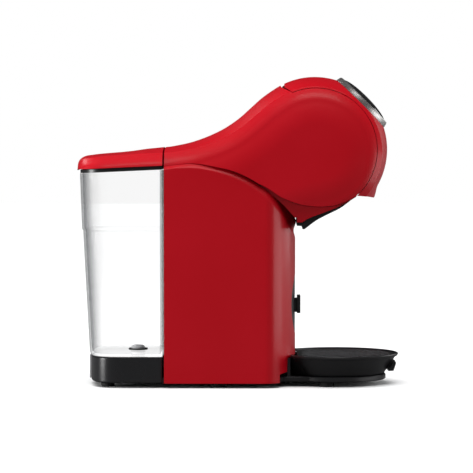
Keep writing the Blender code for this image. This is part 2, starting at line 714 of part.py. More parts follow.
# Tank ----------------------------------------------------------------------------------------
def rim_rise(x):
    """How far the tank's rim stands above its rear end at x."""
    return RIM_RISE * (x - TANK_REAR_X) / (TANK_FRONT_X - TANK_REAR_X)


def tank_rings(inset, floor, top):
    levels = [(floor, 8.9), (floor + 2.4, 8.1), (STEP_Z - 0.3, 2.7), (STEP_Z + 0.5, 1.7), (top, 0.0)]
    rings = []
    for z, forward in levels:
        half = TANK_HALF - inset - (0.25 if forward > 2 else 0.0)
        plan = rear_plan(TANK_FRONT_X - inset, TANK_REAR_X + forward + inset, half)
        rings.append([(x, y, z + (rim_rise(x) if z == top else 0.0)) for x, y in plan])
    return rings


def tank():
    body = loft("water_tank", tank_rings(0.0, TANK_FLOOR, TANK_TOP), "clear_plastic")
    cut(body, loft("tank_hollow", tank_rings(TANK_WALL, TANK_FLOOR + TANK_WALL, TANK_TOP + 5)))
    cut(body, disc("tank_valve_bore", VALVE_R + GAP, -10, 10, (VALVE_X, 0, TANK_FLOOR)))
    low = TANK_FLOOR - 0.2
    valve = [(VALVE_R, low), (VALVE_R, low + 5.0), (4.6, low + 6.6), (3.4, low + 6.6), (3.4, low)]
    turned("valve_body", valve, (VALVE_X, 0, 0), "Z", "grey_plastic", 20)
    disc("valve_plunger", 2.2, low - 2.2, low + 5.4, (VALVE_X, 0, 0), "Z", "grey_plastic", 12)
    washer("valve_seal", 8.6, VALVE_R + 0.8, TANK_FLOOR + TANK_WALL + 0.2, TANK_FLOOR + TANK_WALL + 1.6,
           (VALVE_X, 0, 0), "Z", "rubber")
    outline = nosed_outline(LID_AXIS_X, LID_AXIS_Z, 1.6, 1.5, TANK_TOP + RIM_RISE + 0.3)
    hinge = prism_y("lid_bracket", outline, -9, 9, "black_plastic")
    cut(hinge, disc("lid_bracket_bore", LID_PIN_R + 0.25, -15, 15, LID_AXIS, "Y", steps=10))
    disc("lid_pin", LID_PIN_R, -11.5, 11.5, LID_AXIS, "Y", "steel", steps=8)
    return body


def lid_section(x, half, top, drop, bottom, count=12):
    """One cross-section of the lid: crowned top, rounded shoulders, open bottom edge."""
    ring = [(x, -half, bottom), (x, half, bottom)]
    for i in range(count + 1):
        across = 1 - 2 * i / count
        bend = 1 - (1 - abs(across) ** 3.2) ** (1 / 2.4)
        y = half * math.copysign(abs(across) ** 0.75, across)
        z = top - drop * min(1.0, abs(y) / RIDGE_Y) ** 2 - (top - drop - bottom - 1.2) * bend
        ring.append((x, y, z))
    return ring


def lid_rings(inset, bottom_drop):
    """Stations from the seam back to the rounded rear end."""
    stations = [(0.0, 1.5, 4.8), (1.3, 2.05, 5.0), (15.8, 0.0, 3.4), (28.0, -1.4, 2.6), (38.5, -2.3, 2.2)]
    stations += [(50.0, -3.0, 2.2), (61.0, -3.8, 2.4), (68.0, -5.0, 2.6), (73.0, -7.3, 3.0)]
    stations += [(75.8, -9.6, 3.2), (77.2, -12.5, 2.0)]
    rings = []
    length = TANK_FRONT_X - (TANK_REAR_X - 2.2)
    for back, z, drop in stations:
        x = TANK_FRONT_X - back * length / 77.5
        reach = max(0.0, (TANK_REAR_X + REAR_CORNER - 2.2 - x) / REAR_CORNER)
        half = (LID_HALF - inset) * max(0.18, 1 - min(reach, 1.0) ** 3) ** (1 / 3)
        slope = LID_BOTTOM + rim_rise(x)
        rings.append(lid_section(x, half, HEAD_Z + z - inset, drop, slope - bottom_drop))
    return rings


def lid():
    """Red lid with a crowned top and a finger edge at the rear, on a black liner."""
    cover = loft("tank_lid", lid_rings(0.0, 0.0), "red_gloss")
    inner = lid_rings(2.2, 8.0)[1:]
    inner[0] = [(TANK_FRONT_X - 2.2, y, z) for x, y, z in inner[0]]
    for ring in inner[-2:]:
        ring[:] = [(x + 2.6, y, z) for x, y, z in ring]
    cut(cover, loft("lid_hollow", inner[:-1]))
    room = (LID_BOTTOM - 3, LID_AXIS_Z + 1.9)
    cut(cover, box("lid_hinge_relief", (TANK_FRONT_X - 5.4, TANK_FRONT_X + 2), (-10, 10), room))
    cut(cover, disc("lid_pin_bore", LID_PIN_R + 0.3, -13, 13, LID_AXIS, "Y", steps=8))
    return cover


def lid_liner():
    """Black plate between the tank's rim and the lid, both on the same slope."""
    plan = rear_plan(TANK_FRONT_X - 0.4, TANK_REAR_X + 0.2, TANK_HALF - 0.3)
    rings = [[(x, y, z + rim_rise(x)) for x, y in plan] for z in (TANK_TOP + 0.4, LID_BOTTOM - 0.6)]
    room = (TANK_TOP - 3, HEAD_Z)
    liner = loft("lid_liner", rings, "black_plastic")
    return cut(liner, box("liner_hinge_relief", (TANK_FRONT_X - 6, TANK_FRONT_X + 2), (-10, 10), room))


# Drip tray -----------------------------------------------------------------------------------
def tray_rings(levels, back_x):
    return [[(x, y, z) for x, y in tray_plan(radius, back_x)] for z, radius in levels]


def drip_tray():
    """Dish with a flat back that meets the column, a ledge for the grid and a finger tab in front."""
    inside = TRAY_R - TRAY_WALL
    ledge = TRAY_TOP - 3.0
    outer = [(TRAY_BOTTOM, TRAY_BOTTOM_R), (ledge, TRAY_R - 1.6), (TRAY_TOP, TRAY_R)]
    inner = [(TRAY_BOTTOM + TRAY_WALL, TRAY_BOTTOM_R - TRAY_WALL), (ledge - 0.2, inside - 1.6)]
    inner += [(ledge, inside), (TRAY_TOP + 3.0, inside)]
    tray = loft("drip_tray", tray_rings(outer, TRAY_BACK_X), "black_plastic")
    cut(tray, loft("tray_hollow", tray_rings(inner, TRAY_BACK_X + TRAY_WALL)))
    cut(tray, prism_z("tray_column_cut", column_plan(-0.8, rear=20), 25.4, 60))
    tab = [(-10.3, 13.0), (-8.8, 12.2), (-4.8, 12.6), (-2.4, 19.6), (-4.3, 20.2)]
    tab = [(TRAY_X + TRAY_R + x, z) for x, z in tab]
    return add(tray, prism_y("tray_tab", tab, -16, 16))


def drip_grid():
    """Flat grid on the tray's ledge."""
    radius = TRAY_R - TRAY_WALL - 0.5
    low = TRAY_TOP - 2.6
    plan = tray_plan(radius, COLUMN_FRONT_X + 1.6)
    grid = prism_z("drip_grid", plan, low, low + GRID_THICK, "grid_metal")
    pitch = 2 * (radius - 12) / GRID_SLOTS
    for i in range(GRID_SLOTS):
        y = (i - (GRID_SLOTS - 1) / 2) * pitch
        reach = math.sqrt(max(1.0, (radius - 7) ** 2 - (abs(y) + pitch / 4) ** 2))
        rear = max(TRAY_X - reach, COLUMN_FRONT_X + 8)
        across = (y - pitch / 4, y + pitch / 4)
        cut(grid, box("grid_slot_%d" % i, (rear, TRAY_X + reach), across, (TRAY_TOP - 10, TRAY_TOP + 10)))
    return grid


# Inside the column ---------------------------------------------------------------------------
def pump():
    body = disc("pump_body", PUMP_R, -42, 2, (0, PUMP_Y, PUMP_Z), "X", "steel", 20)
    add(body, disc("pump_outlet", 5.0, 1, 18, (0, PUMP_Y, PUMP_Z), "X", steps=14))
    for name, start in (("pump_mount_rear", -40), ("pump_mount_front", -6)):
        washer(name, MOUNT_R, PUMP_R + 0.6, start, start + 6, (0, PUMP_Y, PUMP_Z), "X", "rubber", 20)


def water_system():
    """Flow meter, heater and the hoses from the tank socket up to the injector."""
    box("thermoblock", (-42, 10), (-26, 26), (100, 146), "aluminium")
    disc("thermostat", 8.0, 26.4, 32.0, (-16, 0, 123), "Y", "steel", 16)
    disc("flow_meter", 12.0, 60, 72, (-44, 17, 0), "Z", "grey_plastic", 20)
    inlet = [(-44, 20, 59.2), (-44, 22, 45), (-48, 28, 24), (-58, 28, 16)]
    suction = [(-44, 3.6, 66), (-45, -3, 65), (-54, -12, 52)]
    suction += [(-52, PUMP_Y, PUMP_Z), (-42.6, PUMP_Y, PUMP_Z)]
    pressure = [(18.6, PUMP_Y, PUMP_Z), (28, PUMP_Y, PUMP_Z + 2), (33, -14, 70)]
    pressure += [(27, -10, 108), (12.2, -8, 120)]
    outlet = [(-10, 0, 146.6), (-10, 0, 160), (-2, 0, HEAD_Z - 20), (14, 0, HEAD_Z + 2),
              (HEAD_X - FRAME_SIDE - 1.5, 0, HEAD_Z + 6)]
    hose("inlet_hose", inlet, HOSE_R, "silicone")
    hose("pump_hose", suction, HOSE_R, "silicone")
    hose("pressure_hose", pressure, THIN_HOSE_R, "silicone")
    hose("outlet_hose", outlet, THIN_HOSE_R, "silicone")


def electrics():
    """Control board beside the left wall with its tallest parts."""
    back = BODY_HALF - 11.0
    board = box("control_board", (-52, 18), (back, back + 1.8), (60, 128), "board_green")
    relay = box("board_relay", (-40, -22), (back - 10, back + 0.5), (70, 86))
    capacitor = box("board_capacitor", (-8, 6), (back - 12, back + 0.5), (92, 110))
    plug = box("board_socket", (-46, -10), (back - 6, back + 0.5), (112, 122))
    add(board, relay, capacitor, plug)


def build():
    head_casing()
    locking_handle()
    handle_hinge_pieces()
    chin_cover()
    outlet_frame()
    brew_frame()
    capsule_holder()
    injector()
    dial()
    body_casing()
    column_inset()
    tray_hook()
    back_panel()
    chassis()
    base_fittings()
    feet()
    tank()
    lid()
    lid_liner()
    drip_tray()
    drip_grid()
    pump()
    water_system()
    electrics()


clear_scene()
MATERIALS = make_materials()
build()
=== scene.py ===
"""Looks of the pod coffee machine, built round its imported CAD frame.

The frame is in metres. Shapes here are written in millimetres and scaled as they are made, in the
same axes: +X front, +Y left, +Z up, floor at 0.
"""
import json
import math

import bmesh
import bpy
from mathutils import Matrix, Vector


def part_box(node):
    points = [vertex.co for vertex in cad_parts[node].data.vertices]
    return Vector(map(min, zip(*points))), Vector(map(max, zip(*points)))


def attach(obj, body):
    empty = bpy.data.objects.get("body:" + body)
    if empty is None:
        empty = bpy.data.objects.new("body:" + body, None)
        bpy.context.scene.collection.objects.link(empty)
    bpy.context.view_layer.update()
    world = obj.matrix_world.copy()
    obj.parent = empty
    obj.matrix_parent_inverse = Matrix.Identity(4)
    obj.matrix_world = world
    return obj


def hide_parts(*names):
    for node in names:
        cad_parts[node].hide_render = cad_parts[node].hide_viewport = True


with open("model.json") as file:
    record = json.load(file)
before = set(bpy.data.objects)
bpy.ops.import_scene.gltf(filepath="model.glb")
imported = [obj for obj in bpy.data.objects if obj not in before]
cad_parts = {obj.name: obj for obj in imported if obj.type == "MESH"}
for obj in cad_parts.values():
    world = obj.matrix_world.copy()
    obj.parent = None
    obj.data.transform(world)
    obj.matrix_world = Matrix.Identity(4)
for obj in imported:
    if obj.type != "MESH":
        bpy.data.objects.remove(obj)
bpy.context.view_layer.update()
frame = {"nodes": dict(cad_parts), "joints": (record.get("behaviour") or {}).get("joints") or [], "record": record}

MM = 0.001


def joint_place(name):
    """Where a joint sits, in millimetres."""
    for joint in frame["joints"]:
        if joint["name"] == name:
            return Vector(joint["pos_m"]) / MM
    raise ValueError(name)


def node_box(name):
    """A CAD node's lowest and highest corner, in millimetres."""
    low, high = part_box(name)
    return Vector(low) / MM, Vector(high) / MM


# Sizes in millimetres, taken from the frame wherever it holds them ----------------------------
DIAL_OFFSET = 57.5           # from the middle of the round head to the dial
DIAL = joint_place("selector_turn")
HINGE = joint_place("handle_hinge")
HEAD_X = DIAL.x - DIAL_OFFSET / math.sqrt(2)
HEAD_Z = DIAL.z - DIAL_OFFSET / math.sqrt(2)
HEAD_R = 65.1                # crown of the head
BODY_LOW, BODY_HIGH = node_box("body_casing")
TANK_LOW, TANK_HIGH = node_box("water_tank")
TRAY_LOW, TRAY_HIGH = node_box("drip_tray")
GRID_LOW, GRID_HIGH = node_box("drip_grid")
LINER_LOW = node_box("lid_liner")[0]
BASE_LOW, BASE_HIGH = node_box("chassis_base")
HALF_WIDTH = 55.5
BODY_HALF = BODY_HIGH.y
COLUMN_FRONT = BODY_HIGH.x
BODY_REAR = BODY_LOW.x
FLAT_END_X = 24.0            # flat sides of the column end and its round front starts
WALL = 2.5                   # red shells
SEAM = 0.5                   # gap round the locking handle
TUCK = 1.6                   # how far the chin reaches down inside the lower casing
WIDE = HALF_WIDTH + 10.0     # half the length of tools that cut right across

# Upper shell. Across: crown, ridge, shoulder, cheek. Along: neck, round head, lip.
RIDGE_Y = HALF_WIDTH - 10.0
SHOULDER_DEPTH = 14.0
CHEEK_Y = HALF_WIDTH - 3.0
CHEEK_DEPTH = 20.0
CHEEK_ROWS = 8
TOP_DROP = 9.0               # crown to ridge on top of the head, in front and at the lip
FRONT_DROP = 6.2
LIP_DROP = 4.5
NECK_END = 124.0             # angles round the head, 0 to the front and 90 up
TOP_ANGLE = 70.0
LIP_ANGLE = -36.0
LIP_START = -29.0
LIP_FADE = 12.0
LIP_REACH = 4.0
SHELL_END = -82.0
SHELL_REAR_X = -150.0        # closed here, far behind the seam with the lid
REAR_END_X = -260.0          # beyond anything that is cut away

# Handle, hinge and dial
SEAM_R = 54.4
SEAM_START = 112.0
SEAM_END = -48.0
HANDLE_REAR_X = HINGE.x - 0.3
NOTCH_REAR_X = HINGE.x - 2.9
NOTCH_LEAN = 0.9
HINGE_HALF = 9.5
BRACKET_END = HINGE_HALF + 4.0
KNUCKLE_R = 2.6
DIAL_R = 30.0
DIAL_BORE_R = 27.0
DOME_R = 26.45
DOME_FOOT = 4.1
DOME_RISE = 4.9

# Chin, outlet and column front
CHIN_HALF = HALF_WIDTH - 5.0
CHIN_REAR_X = 52.2
OUTLET_HALF = BODY_HALF - 12.0
OUTLET_R = 10.0
COVE_X = 40.0                # the cove under the chin fades in from here to the front
CREASE_X, CREASE_Z, CREASE_R = -46.5, HEAD_Z - 123.0, 106.7    # circle the crease follows
BODY_COLUMNS = 180
INSET_Z = 72.0
INSET_R = 27.0
TOE_X = 43.9
TOE_TOP = 26.8
TOE_BLOCK_TOP = 25.4
TOE_HALF = 34.0

# Lid, tank and base
LID_REAR_EDGE = HEAD_Z - 17.4
LID_WALL = 2.2
LID_STRAIGHT, LID_BENT = 0.7, 0.3    # shares of the stations along the lid
REAR_ROUND = 29.0
RIM_RISE = 3.4
TANK_STEP = HEAD_Z - 71.3    # the rear wall steps out here
TANK_WALL = 2.0
VALVE_X = -90.6
VALVE_R = 6.45
BASE_TOP = 27.2
BASE_WALL = 3.0
FLOOR_TOP = 9.2
SOCKET_R = 8.0
GLAND_PLACE = (BASE_LOW.x, 22.0, 14.0)
GLAND_R = 5.0

# Tray and grid
TRAY_X = 88.3                # middle of the round tray
TRAY_FOOT_R = 43.9
TRAY_WALL = 2.0
CRADLE_R = 44.5
CRADLE_TOP = 9.1
GRID_SLOTS = 15


# Materials ------------------------------------------------------------------------------------
def new_material(name):
    made = bpy.data.materials.new(name)
    made.use_nodes = True
    return made, made.node_tree.nodes, made.node_tree.links, made.node_tree.nodes["Principled BSDF"]


def add_noise(nodes, links, scale, detail=3.0, stretch=None):
    """Noise on object coordinates, which are metres in the shared frame."""
    place = nodes.new("ShaderNodeTexCoord")
    noise = nodes.new("ShaderNodeTexNoise")
    noise.inputs["Scale"].default_value = scale
    noise.inputs["Detail"].default_value = detail
    source = place.outputs["Object"]
    if stretch:
        mapping = nodes.new("ShaderNodeMapping")
        mapping.inputs["Scale"].default_value = stretch
        links.new(source, mapping.inputs["Vector"])
        source = mapping.outputs["Vector"]
    links.new(source, noise.inputs["Vector"])
    return noise


def remap(nodes, links, source, old, new, smooth=False):
    """Map the range old onto the range new."""
    span = nodes.new("ShaderNodeMapRange")
    if smooth:
        span.interpolation_type = "SMOOTHSTEP"
    for socket, value in zip(("From Min", "From Max", "To Min", "To Max"), (*old, *new)):
        span.inputs[socket].default_value = value
    links.new(source, span.inputs["Value"])
    return span.outputs["Result"]


def vary(nodes, links, source, span, target):
    """Let a noise value drift over span."""
    links.new(remap(nodes, links, source, (0.2, 0.8), span, True), target)


def calculate(nodes, links, operation, *values):
    """One sum on sockets or plain numbers."""
    step = nodes.new("ShaderNodeMath")
    step.operation = operation
    for socket, value in zip(step.inputs, values):
        if isinstance(value, float):
            socket.default_value = value
        else:
            links.new(value, socket)
    return step.outputs["Value"]


def tint(nodes, links, source, dark, light, target):
    ramp = nodes.new("ShaderNodeValToRGB")
    ramp.color_ramp.interpolation = "EASE"
    ramp.color_ramp.elements[0].position = 0.15
    ramp.color_ramp.elements[0].color = (*dark, 1)
    ramp.color_ramp.elements[1].position = 0.85
    ramp.color_ramp.elements[1].color = (*light, 1)
    links.new(source, ramp.inputs["Fac"])
    links.new(ramp.outputs["Color"], target)


def bump(nodes, links, source, height_mm, shader, strength=1.0):
    node = nodes.new("ShaderNodeBump")
    node.inputs["Strength"].default_value = strength
    node.inputs["Distance"].default_value = height_mm * MM
    links.new(source, node.inputs["Height"])
    links.new(node.outputs["Normal"], shader.inputs["Normal"])


def plastic(name, dark, light, rough, grain, grain_scale, coat=0.0, coat_rough=0.03, shine=0.5):
    """Moulded plastic: slight colour drift, roughness drift and a fine surface grain."""
    made, nodes, links, shader = new_material(name)
    drift = add_noise(nodes, links, 14.0, 2.0)
    fine = add_noise(nodes, links, grain_scale, 2.0)
    tint(nodes, links, drift.outputs["Fac"], dark, light, shader.inputs["Base Color"])
    vary(nodes, links, drift.outputs["Fac"], rough, shader.inputs["Roughness"])
    bump(nodes, links, fine.outputs["Fac"], grain, shader, 0.6)
    shader.inputs["Coat Weight"].default_value = coat
    shader.inputs["Specular IOR Level"].default_value = shine
    shader.inputs["Coat Roughness"].default_value = coat_rough
    return made


def brushed_along(nodes, links, place, noise):
    """Brushing along X."""
    mapping = nodes.new("ShaderNodeMapping")
    mapping.inputs["Scale"].default_value = (30.0, 1600.0, 1600.0)
    links.new(place, mapping.inputs["Vector"])
    links.new(mapping.outputs["Vector"], noise.inputs["Vector"])
    noise.inputs["Scale"].default_value = 1.0


def brushed_round(nodes, links, place, noise, centre):
    """Brushing in rings round the dial's axis, which leans forward by 45 degrees."""
    shift = nodes.new("ShaderNodeVectorMath")
    shift.operation = "SUBTRACT"
    shift.inputs[1].default_value = centre * MM
    links.new(place, shift.inputs[0])
    turn = nodes.new("ShaderNodeVectorRotate")
    turn.rotation_type = "Y_AXIS"
    turn.inputs["Angle"].default_value = -math.pi / 4
    links.new(shift.outputs["Vector"], turn.inputs["Vector"])
    split = nodes.new("ShaderNodeSeparateXYZ")
    links.new(turn.outputs["Vector"], split.inputs["Vector"])
    flat = nodes.new("ShaderNodeCombineXYZ")
    links.new(split.outputs["X"], flat.inputs["X"])
    links.new(split.outputs["Y"], flat.inputs["Y"])
    radius = nodes.new("ShaderNodeVectorMath")
    radius.operation = "LENGTH"
    links.new(flat.outputs["Vector"], radius.inputs[0])
    rings = nodes.new("ShaderNodeCombineXYZ")
    links.new(radius.outputs["Value"], rings.inputs["X"])
    links.new(split.outputs["Z"], rings.inputs["Y"])
    links.new(rings.outputs["Vector"], noise.inputs["Vector"])
    noise.inputs["Scale"].default_value = 2600.0


def brushed(name, colour, rough, centre=None, metal=1.0):
    """Metal with fine brushing: in rings round centre, or along X without one."""
    made, nodes, links, shader = new_material(name)
    shader.inputs["Metallic"].default_value = metal
    place = nodes.new("ShaderNodeTexCoord").outputs["Object"]
    noise = nodes.new("ShaderNodeTexNoise")
    noise.inputs["Detail"].default_value = 4.0
    if centre is None:
        brushed_along(nodes, links, place, noise)
    else:
        brushed_round(nodes, links, place, noise, centre)
    dark = tuple(c * 0.8 for c in colour)
    tint(nodes, links, noise.outputs["Fac"], dark, colour, shader.inputs["Base Color"])
    vary(nodes, links, noise.outputs["Fac"], rough, shader.inputs["Roughness"])
    bump(nodes, links, noise.outputs["Fac"], 0.006, shader, 0.4)
    return made


def painted_floor_glow(nodes, links, shader, wall):
    """Painted glow: the level floor of a clear vessel is made opaque and given white emission where it is seen
    almost edge on, standing in for the pale room seen through it.
    """
    split = nodes.new("ShaderNodeSeparateXYZ")
    links.new(nodes.new("ShaderNodeNewGeometry").outputs["True Normal"], split.inputs["Vector"])
    upright = calculate(nodes, links, "ABSOLUTE", split.outputs["Z"])
    level = remap(nodes, links, upright, (0.7, 0.95), (0.0, 1.0))
    slant = nodes.new("ShaderNodeLayerWeight")
    slant.inputs["Blend"].default_value = 0.5
    grazing = remap(nodes, links, slant.outputs["Facing"], (0.78, 0.92), (0.0, 0.8))
    share = calculate(nodes, links, "MULTIPLY", level, grazing)
    links.new(calculate(nodes, links, "MAXIMUM", share, wall), shader.inputs["Alpha"])
    # Painted glow: white emission on the level floor, in place of the bright room seen through the clear plastic.
    shader.inputs["Emission Color"].default_value = (1, 1, 1, 1)
    links.new(share, shader.inputs["Emission Strength"])


def clear_plastic(name):
    """Clear moulded tank: see-through face on, grey where the wall is seen edge on, faint flow marks, and a
    painted white glow on its level floor.
    """
    made, nodes, links, shader = new_material(name)
    flow = add_noise(nodes, links, 18.0, 2.0, (1.0, 1.0, 0.25)).outputs["Fac"]
    tint(nodes, links, flow, (0.16, 0.17, 0.18), (0.20, 0.21, 0.22), shader.inputs["Base Color"])
    vary(nodes, links, flow, (0.05, 0.10), shader.inputs["Roughness"])
    bump(nodes, links, flow, 0.15, shader, 0.2)
    edge = nodes.new("ShaderNodeLayerWeight")
    edge.inputs["Blend"].default_value = 0.22
    rise = calculate(nodes, links, "POWER", edge.outputs["Facing"], 1.4)
    painted_floor_glow(nodes, links, shader, remap(nodes, links, rise, (0.0, 0.9), (0.02, 0.85)))
    return made


def grey(low, high):
    """Two even greys."""
    return (low, low, low), (high, high, high)


RED = ((0.42, 0.0003, 0.006), (0.45, 0.0006, 0.008))
SATIN_BLACK = ((0.010, 0.010, 0.011), (0.014, 0.014, 0.015))
DEEP_BLACK = ((0.005, 0.005, 0.006), (0.007, 0.007, 0.008))
MID_GREY = ((0.38, 0.38, 0.39), (0.44, 0.44, 0.45))
MILKY = ((0.60, 0.59, 0.56), (0.72, 0.71, 0.68))
LACQUER = ((0.02, 0.12, 0.05), (0.04, 0.20, 0.09))
CAST = ((0.50, 0.50, 0.51), (0.62, 0.62, 0.63))
SMOKED = ((0.01, 0.012, 0.014), (0.02, 0.022, 0.025))
LOOKS = {
    "red_gloss": plastic("red_gloss_paint", *RED, (0.40, 0.44), 0.004, 900, 0.2, 0.16, 0.22),
    "black_plastic": plastic("black_satin", *SATIN_BLACK, (0.26, 0.34), 0.02, 1400),
    "gloss_black": plastic("black_gloss", *DEEP_BLACK, (0.05, 0.08), 0.002, 700, coat=1.0),
    "brushed_metal": brushed("ring_brushed", (0.50, 0.49, 0.48), (0.34, 0.46), DIAL, 0.9),
    "steel": brushed("steel_plain", (0.58, 0.58, 0.59), (0.2, 0.34)),
    "clear_plastic": clear_plastic("tank_clear"),
    "grey_plastic": plastic("grey_satin", *MID_GREY, (0.4, 0.5), 0.02, 1200),
    "grid_metal": brushed("grid_polished", (0.20, 0.20, 0.21), (0.16, 0.24)),
    "rubber": plastic("rubber_matt", *grey(0.012, 0.022), (0.75, 0.9), 0.05, 1600),
    "silicone": plastic("silicone_milky", *MILKY, (0.45, 0.6), 0.02, 900),
    "board_green": plastic("board_lacquer", *LACQUER, (0.3, 0.5), 0.05, 500),
    "aluminium": plastic("aluminium_cast", *CAST, (0.4, 0.55), 0.08, 700),
    "display_glass": plastic("display_smoked", *SMOKED, (0.08, 0.12), 0.002, 600),
}
LOOKS["aluminium"].node_tree.nodes["Principled BSDF"].inputs["Metallic"].default_value = 1.0


# Mesh helpers ---------------------------------------------------------------------------------
def mesh_object(name, points, faces, finish=None, sharp=32.0):
    mesh = bpy.data.meshes.new(name)
    mesh.from_pydata([Vector(p) * MM for p in points], [], faces)
    shape = bmesh.new()
    shape.from_mesh(mesh)
    bmesh.ops.recalc_face_normals(shape, faces=shape.faces)
    shape.to_mesh(mesh)
    shape.free()
    mesh.shade_smooth()
    mesh.set_sharp_from_angle(angle=math.radians(sharp))
    obj = bpy.data.objects.new(name, mesh)
    bpy.context.collection.objects.link(obj)
    if finish:
        mesh.materials.append(LOOKS[finish])
    return obj


def loft(name, rings, finish=None, sharp=32.0):
    """Skin equal rings and cap both ends."""
    count = len(rings[0])
    points = [p for ring in rings for p in ring]
    faces = [list(range(count)), list(range(len(points) - count, len(points)))]
    for level in range(len(rings) - 1):
        low = level * count
        high = low + count
        for i in range(count):
            j = (i + 1) % count
            faces.append([low + i, low + j, high + j, high + i])
    return mesh_object(name, points, faces, finish, sharp)


def grid(name, rows, finish, sharp=32.0):
    """Open sheet through equal rows of points."""
    count = len(rows[0])
    points = [p for row in rows for p in row]
    faces = []
    for level in range(len(rows) - 1):
        low = level * count
        for i in range(count - 1):
            faces.append([low + i, low + i + 1, low + count + i + 1, low + count + i])
    return mesh_object(name, points, faces, finish, sharp)


def prism_y(name, outline, y0, y1, finish=None):
    return loft(name, [[(x, y, z) for x, z in outline] for y in (y0, y1)], finish)


def prism_z(name, outline, z0, z1, finish=None):
    return loft(name, [[(x, y, z) for x, y in outline] for z in (z0, z1)], finish)


def box(name, x, y, z, finish=None):
    outline = [(x[0], z[0]), (x[1], z[0]), (x[1], z[1]), (x[0], z[1])]
    return prism_y(name, outline, y[0], y[1], finish)


TURNS = {
    "Z": Matrix.Identity(3),
    "X": Matrix.Rotation(math.pi / 2, 3, "Y"),
    "Y": Matrix.Rotation(-math.pi / 2, 3, "X"),
    "DIAL": Matrix.Rotation(math.pi / 4, 3, "Y"),
}


def turned(name, profile, place, axis="Z", finish=None, steps=96, sharp=32.0):
    """Revolve (radius, height) pairs round an axis; a profile that never meets the axis makes a ring."""
    centre = Vector(place)
    turn = TURNS[axis]
    points = []
    rows = []
    for radius, height in profile:
        row = []
        for step in range(steps if radius > 0 else 1):
            angle = math.tau * step / steps
            local = Vector((radius * math.cos(angle), radius * math.sin(angle), height))
            row.append(len(points))
            points.append(centre + turn @ local)
        rows.append(row)
    if profile[0][0] > 0:
        rows.append(rows[0])
    faces = []
    for low, high in zip(rows, rows[1:]):
        for i in range(steps):
            j = (i + 1) % steps
            if len(low) == 1:
                faces.append([low[0], high[i], high[j]])
            elif len(high) == 1:
                faces.append([low[i], low[j], high[0]])
            else:
                faces.append([low[i], low[j], high[j], high[i]])
    return mesh_object(name, points, faces, finish, sharp)


def disc(name, radius, h0, h1, place, axis="Z", finish=None, steps=96):
    return turned(name, [(0, h0), (radius, h0), (radius, h1), (0, h1)], place, axis, finish, steps)


def apply_modifiers(obj):
    """Keep the mesh that the modifiers make and drop them."""
    graph = bpy.context.evaluated_depsgraph_get()
    shown = obj.evaluated_get(graph)
    made = bpy.data.meshes.new_from_object(shown, preserve_all_data_layers=True, depsgraph=graph)
    obj.modifiers.clear()
    old = obj.data
    obj.data = made
    bpy.data.meshes.remove(old)


def bake(obj, weighted=True):
    """Apply the modifiers, with normals weighted by face size where wanted."""
    if weighted:
        step = obj.modifiers.new("normals", "WEIGHTED_NORMAL")
        step.keep_sharp = True
    apply_modifiers(obj)
    return obj


def cut(obj, *tools, operation="DIFFERENCE", sharp=30.0):
    """Combine with the tools, which go, and mark the sharp edges again."""
    for tool in tools:
        step = obj.modifiers.new(tool.name, "BOOLEAN")
        step.operation = operation
        step.solver = "MANIFOLD"
        step.object = tool
    apply_modifiers(obj)
    for tool in tools:
        bpy.data.objects.remove(tool, do_unlink=True)
    mesh = obj.data
    mesh.shade_smooth()
    mesh.set_sharp_from_angle(angle=math.radians(sharp))
    while len(mesh.materials) > 1:
        mesh.materials.pop(index=len(mesh.materials) - 1)
    mesh.polygons.foreach_set("material_index", [0] * len(mesh.polygons))
    return obj


def soften(obj, width_mm, segments=3, angle=40.0):
    """Round an object's hard edges."""
    step = obj.modifiers.new("soft_edges", "BEVEL")
    step.width = width_mm * MM
    step.segments = segments
    step.limit_method = "ANGLE"
    step.angle_limit = math.radians(angle)
    step.harden_normals = True
    return obj


def place(obj, body, slot, *nodes):
    """Tie a piece to its CAD body and hide the nodes it replaces; slot, the finish it stands for, is not used."""
    if nodes:
        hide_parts(*nodes)
    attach(obj, body)
    return obj


def smooth_path(points, steps):
    """Catmull-Rom curve through points of any size."""
    points = [Vector(p) for p in points]
    ends = [points[0] * 2 - points[1], *points, points[-1] * 2 - points[-2]]
    path = [points[0]]
    for a, b, c, d in zip(ends, ends[1:], ends[2:], ends[3:]):
        for step in range(1, steps + 1):
            t = step / steps
            path.append(0.5 * (2 * b + (c - a) * t + (2 * a - 5 * b + 4 * c - d) * t ** 2
                               + (3 * b - a - 3 * c + d) * t ** 3))
    return [tuple(p) for p in path]


# Red shells -----------------------------------------------------------------------------------
def on_head(radius, degrees):
    """(x, z) on a circle round the middle of the head."""
    angle = math.radians(degrees)
    return (HEAD_X + radius * math.cos(angle), HEAD_Z + radius * math.sin(angle))


def from_head(points):
    """(x, z) of points whose heights count from the middle of the head."""
    return [(x, HEAD_Z + z) for x, z in points]


def head_drop(degrees):
    """How far the ridge lies inside the crown round the head."""
    if degrees > 0:
        return FRONT_DROP + (TOP_DROP - FRONT_DROP) * min(degrees / TOP_ANGLE, 1.0)
    return FRONT_DROP - (FRONT_DROP - LIP_DROP) * min(degrees / LIP_ANGLE, 1.0)


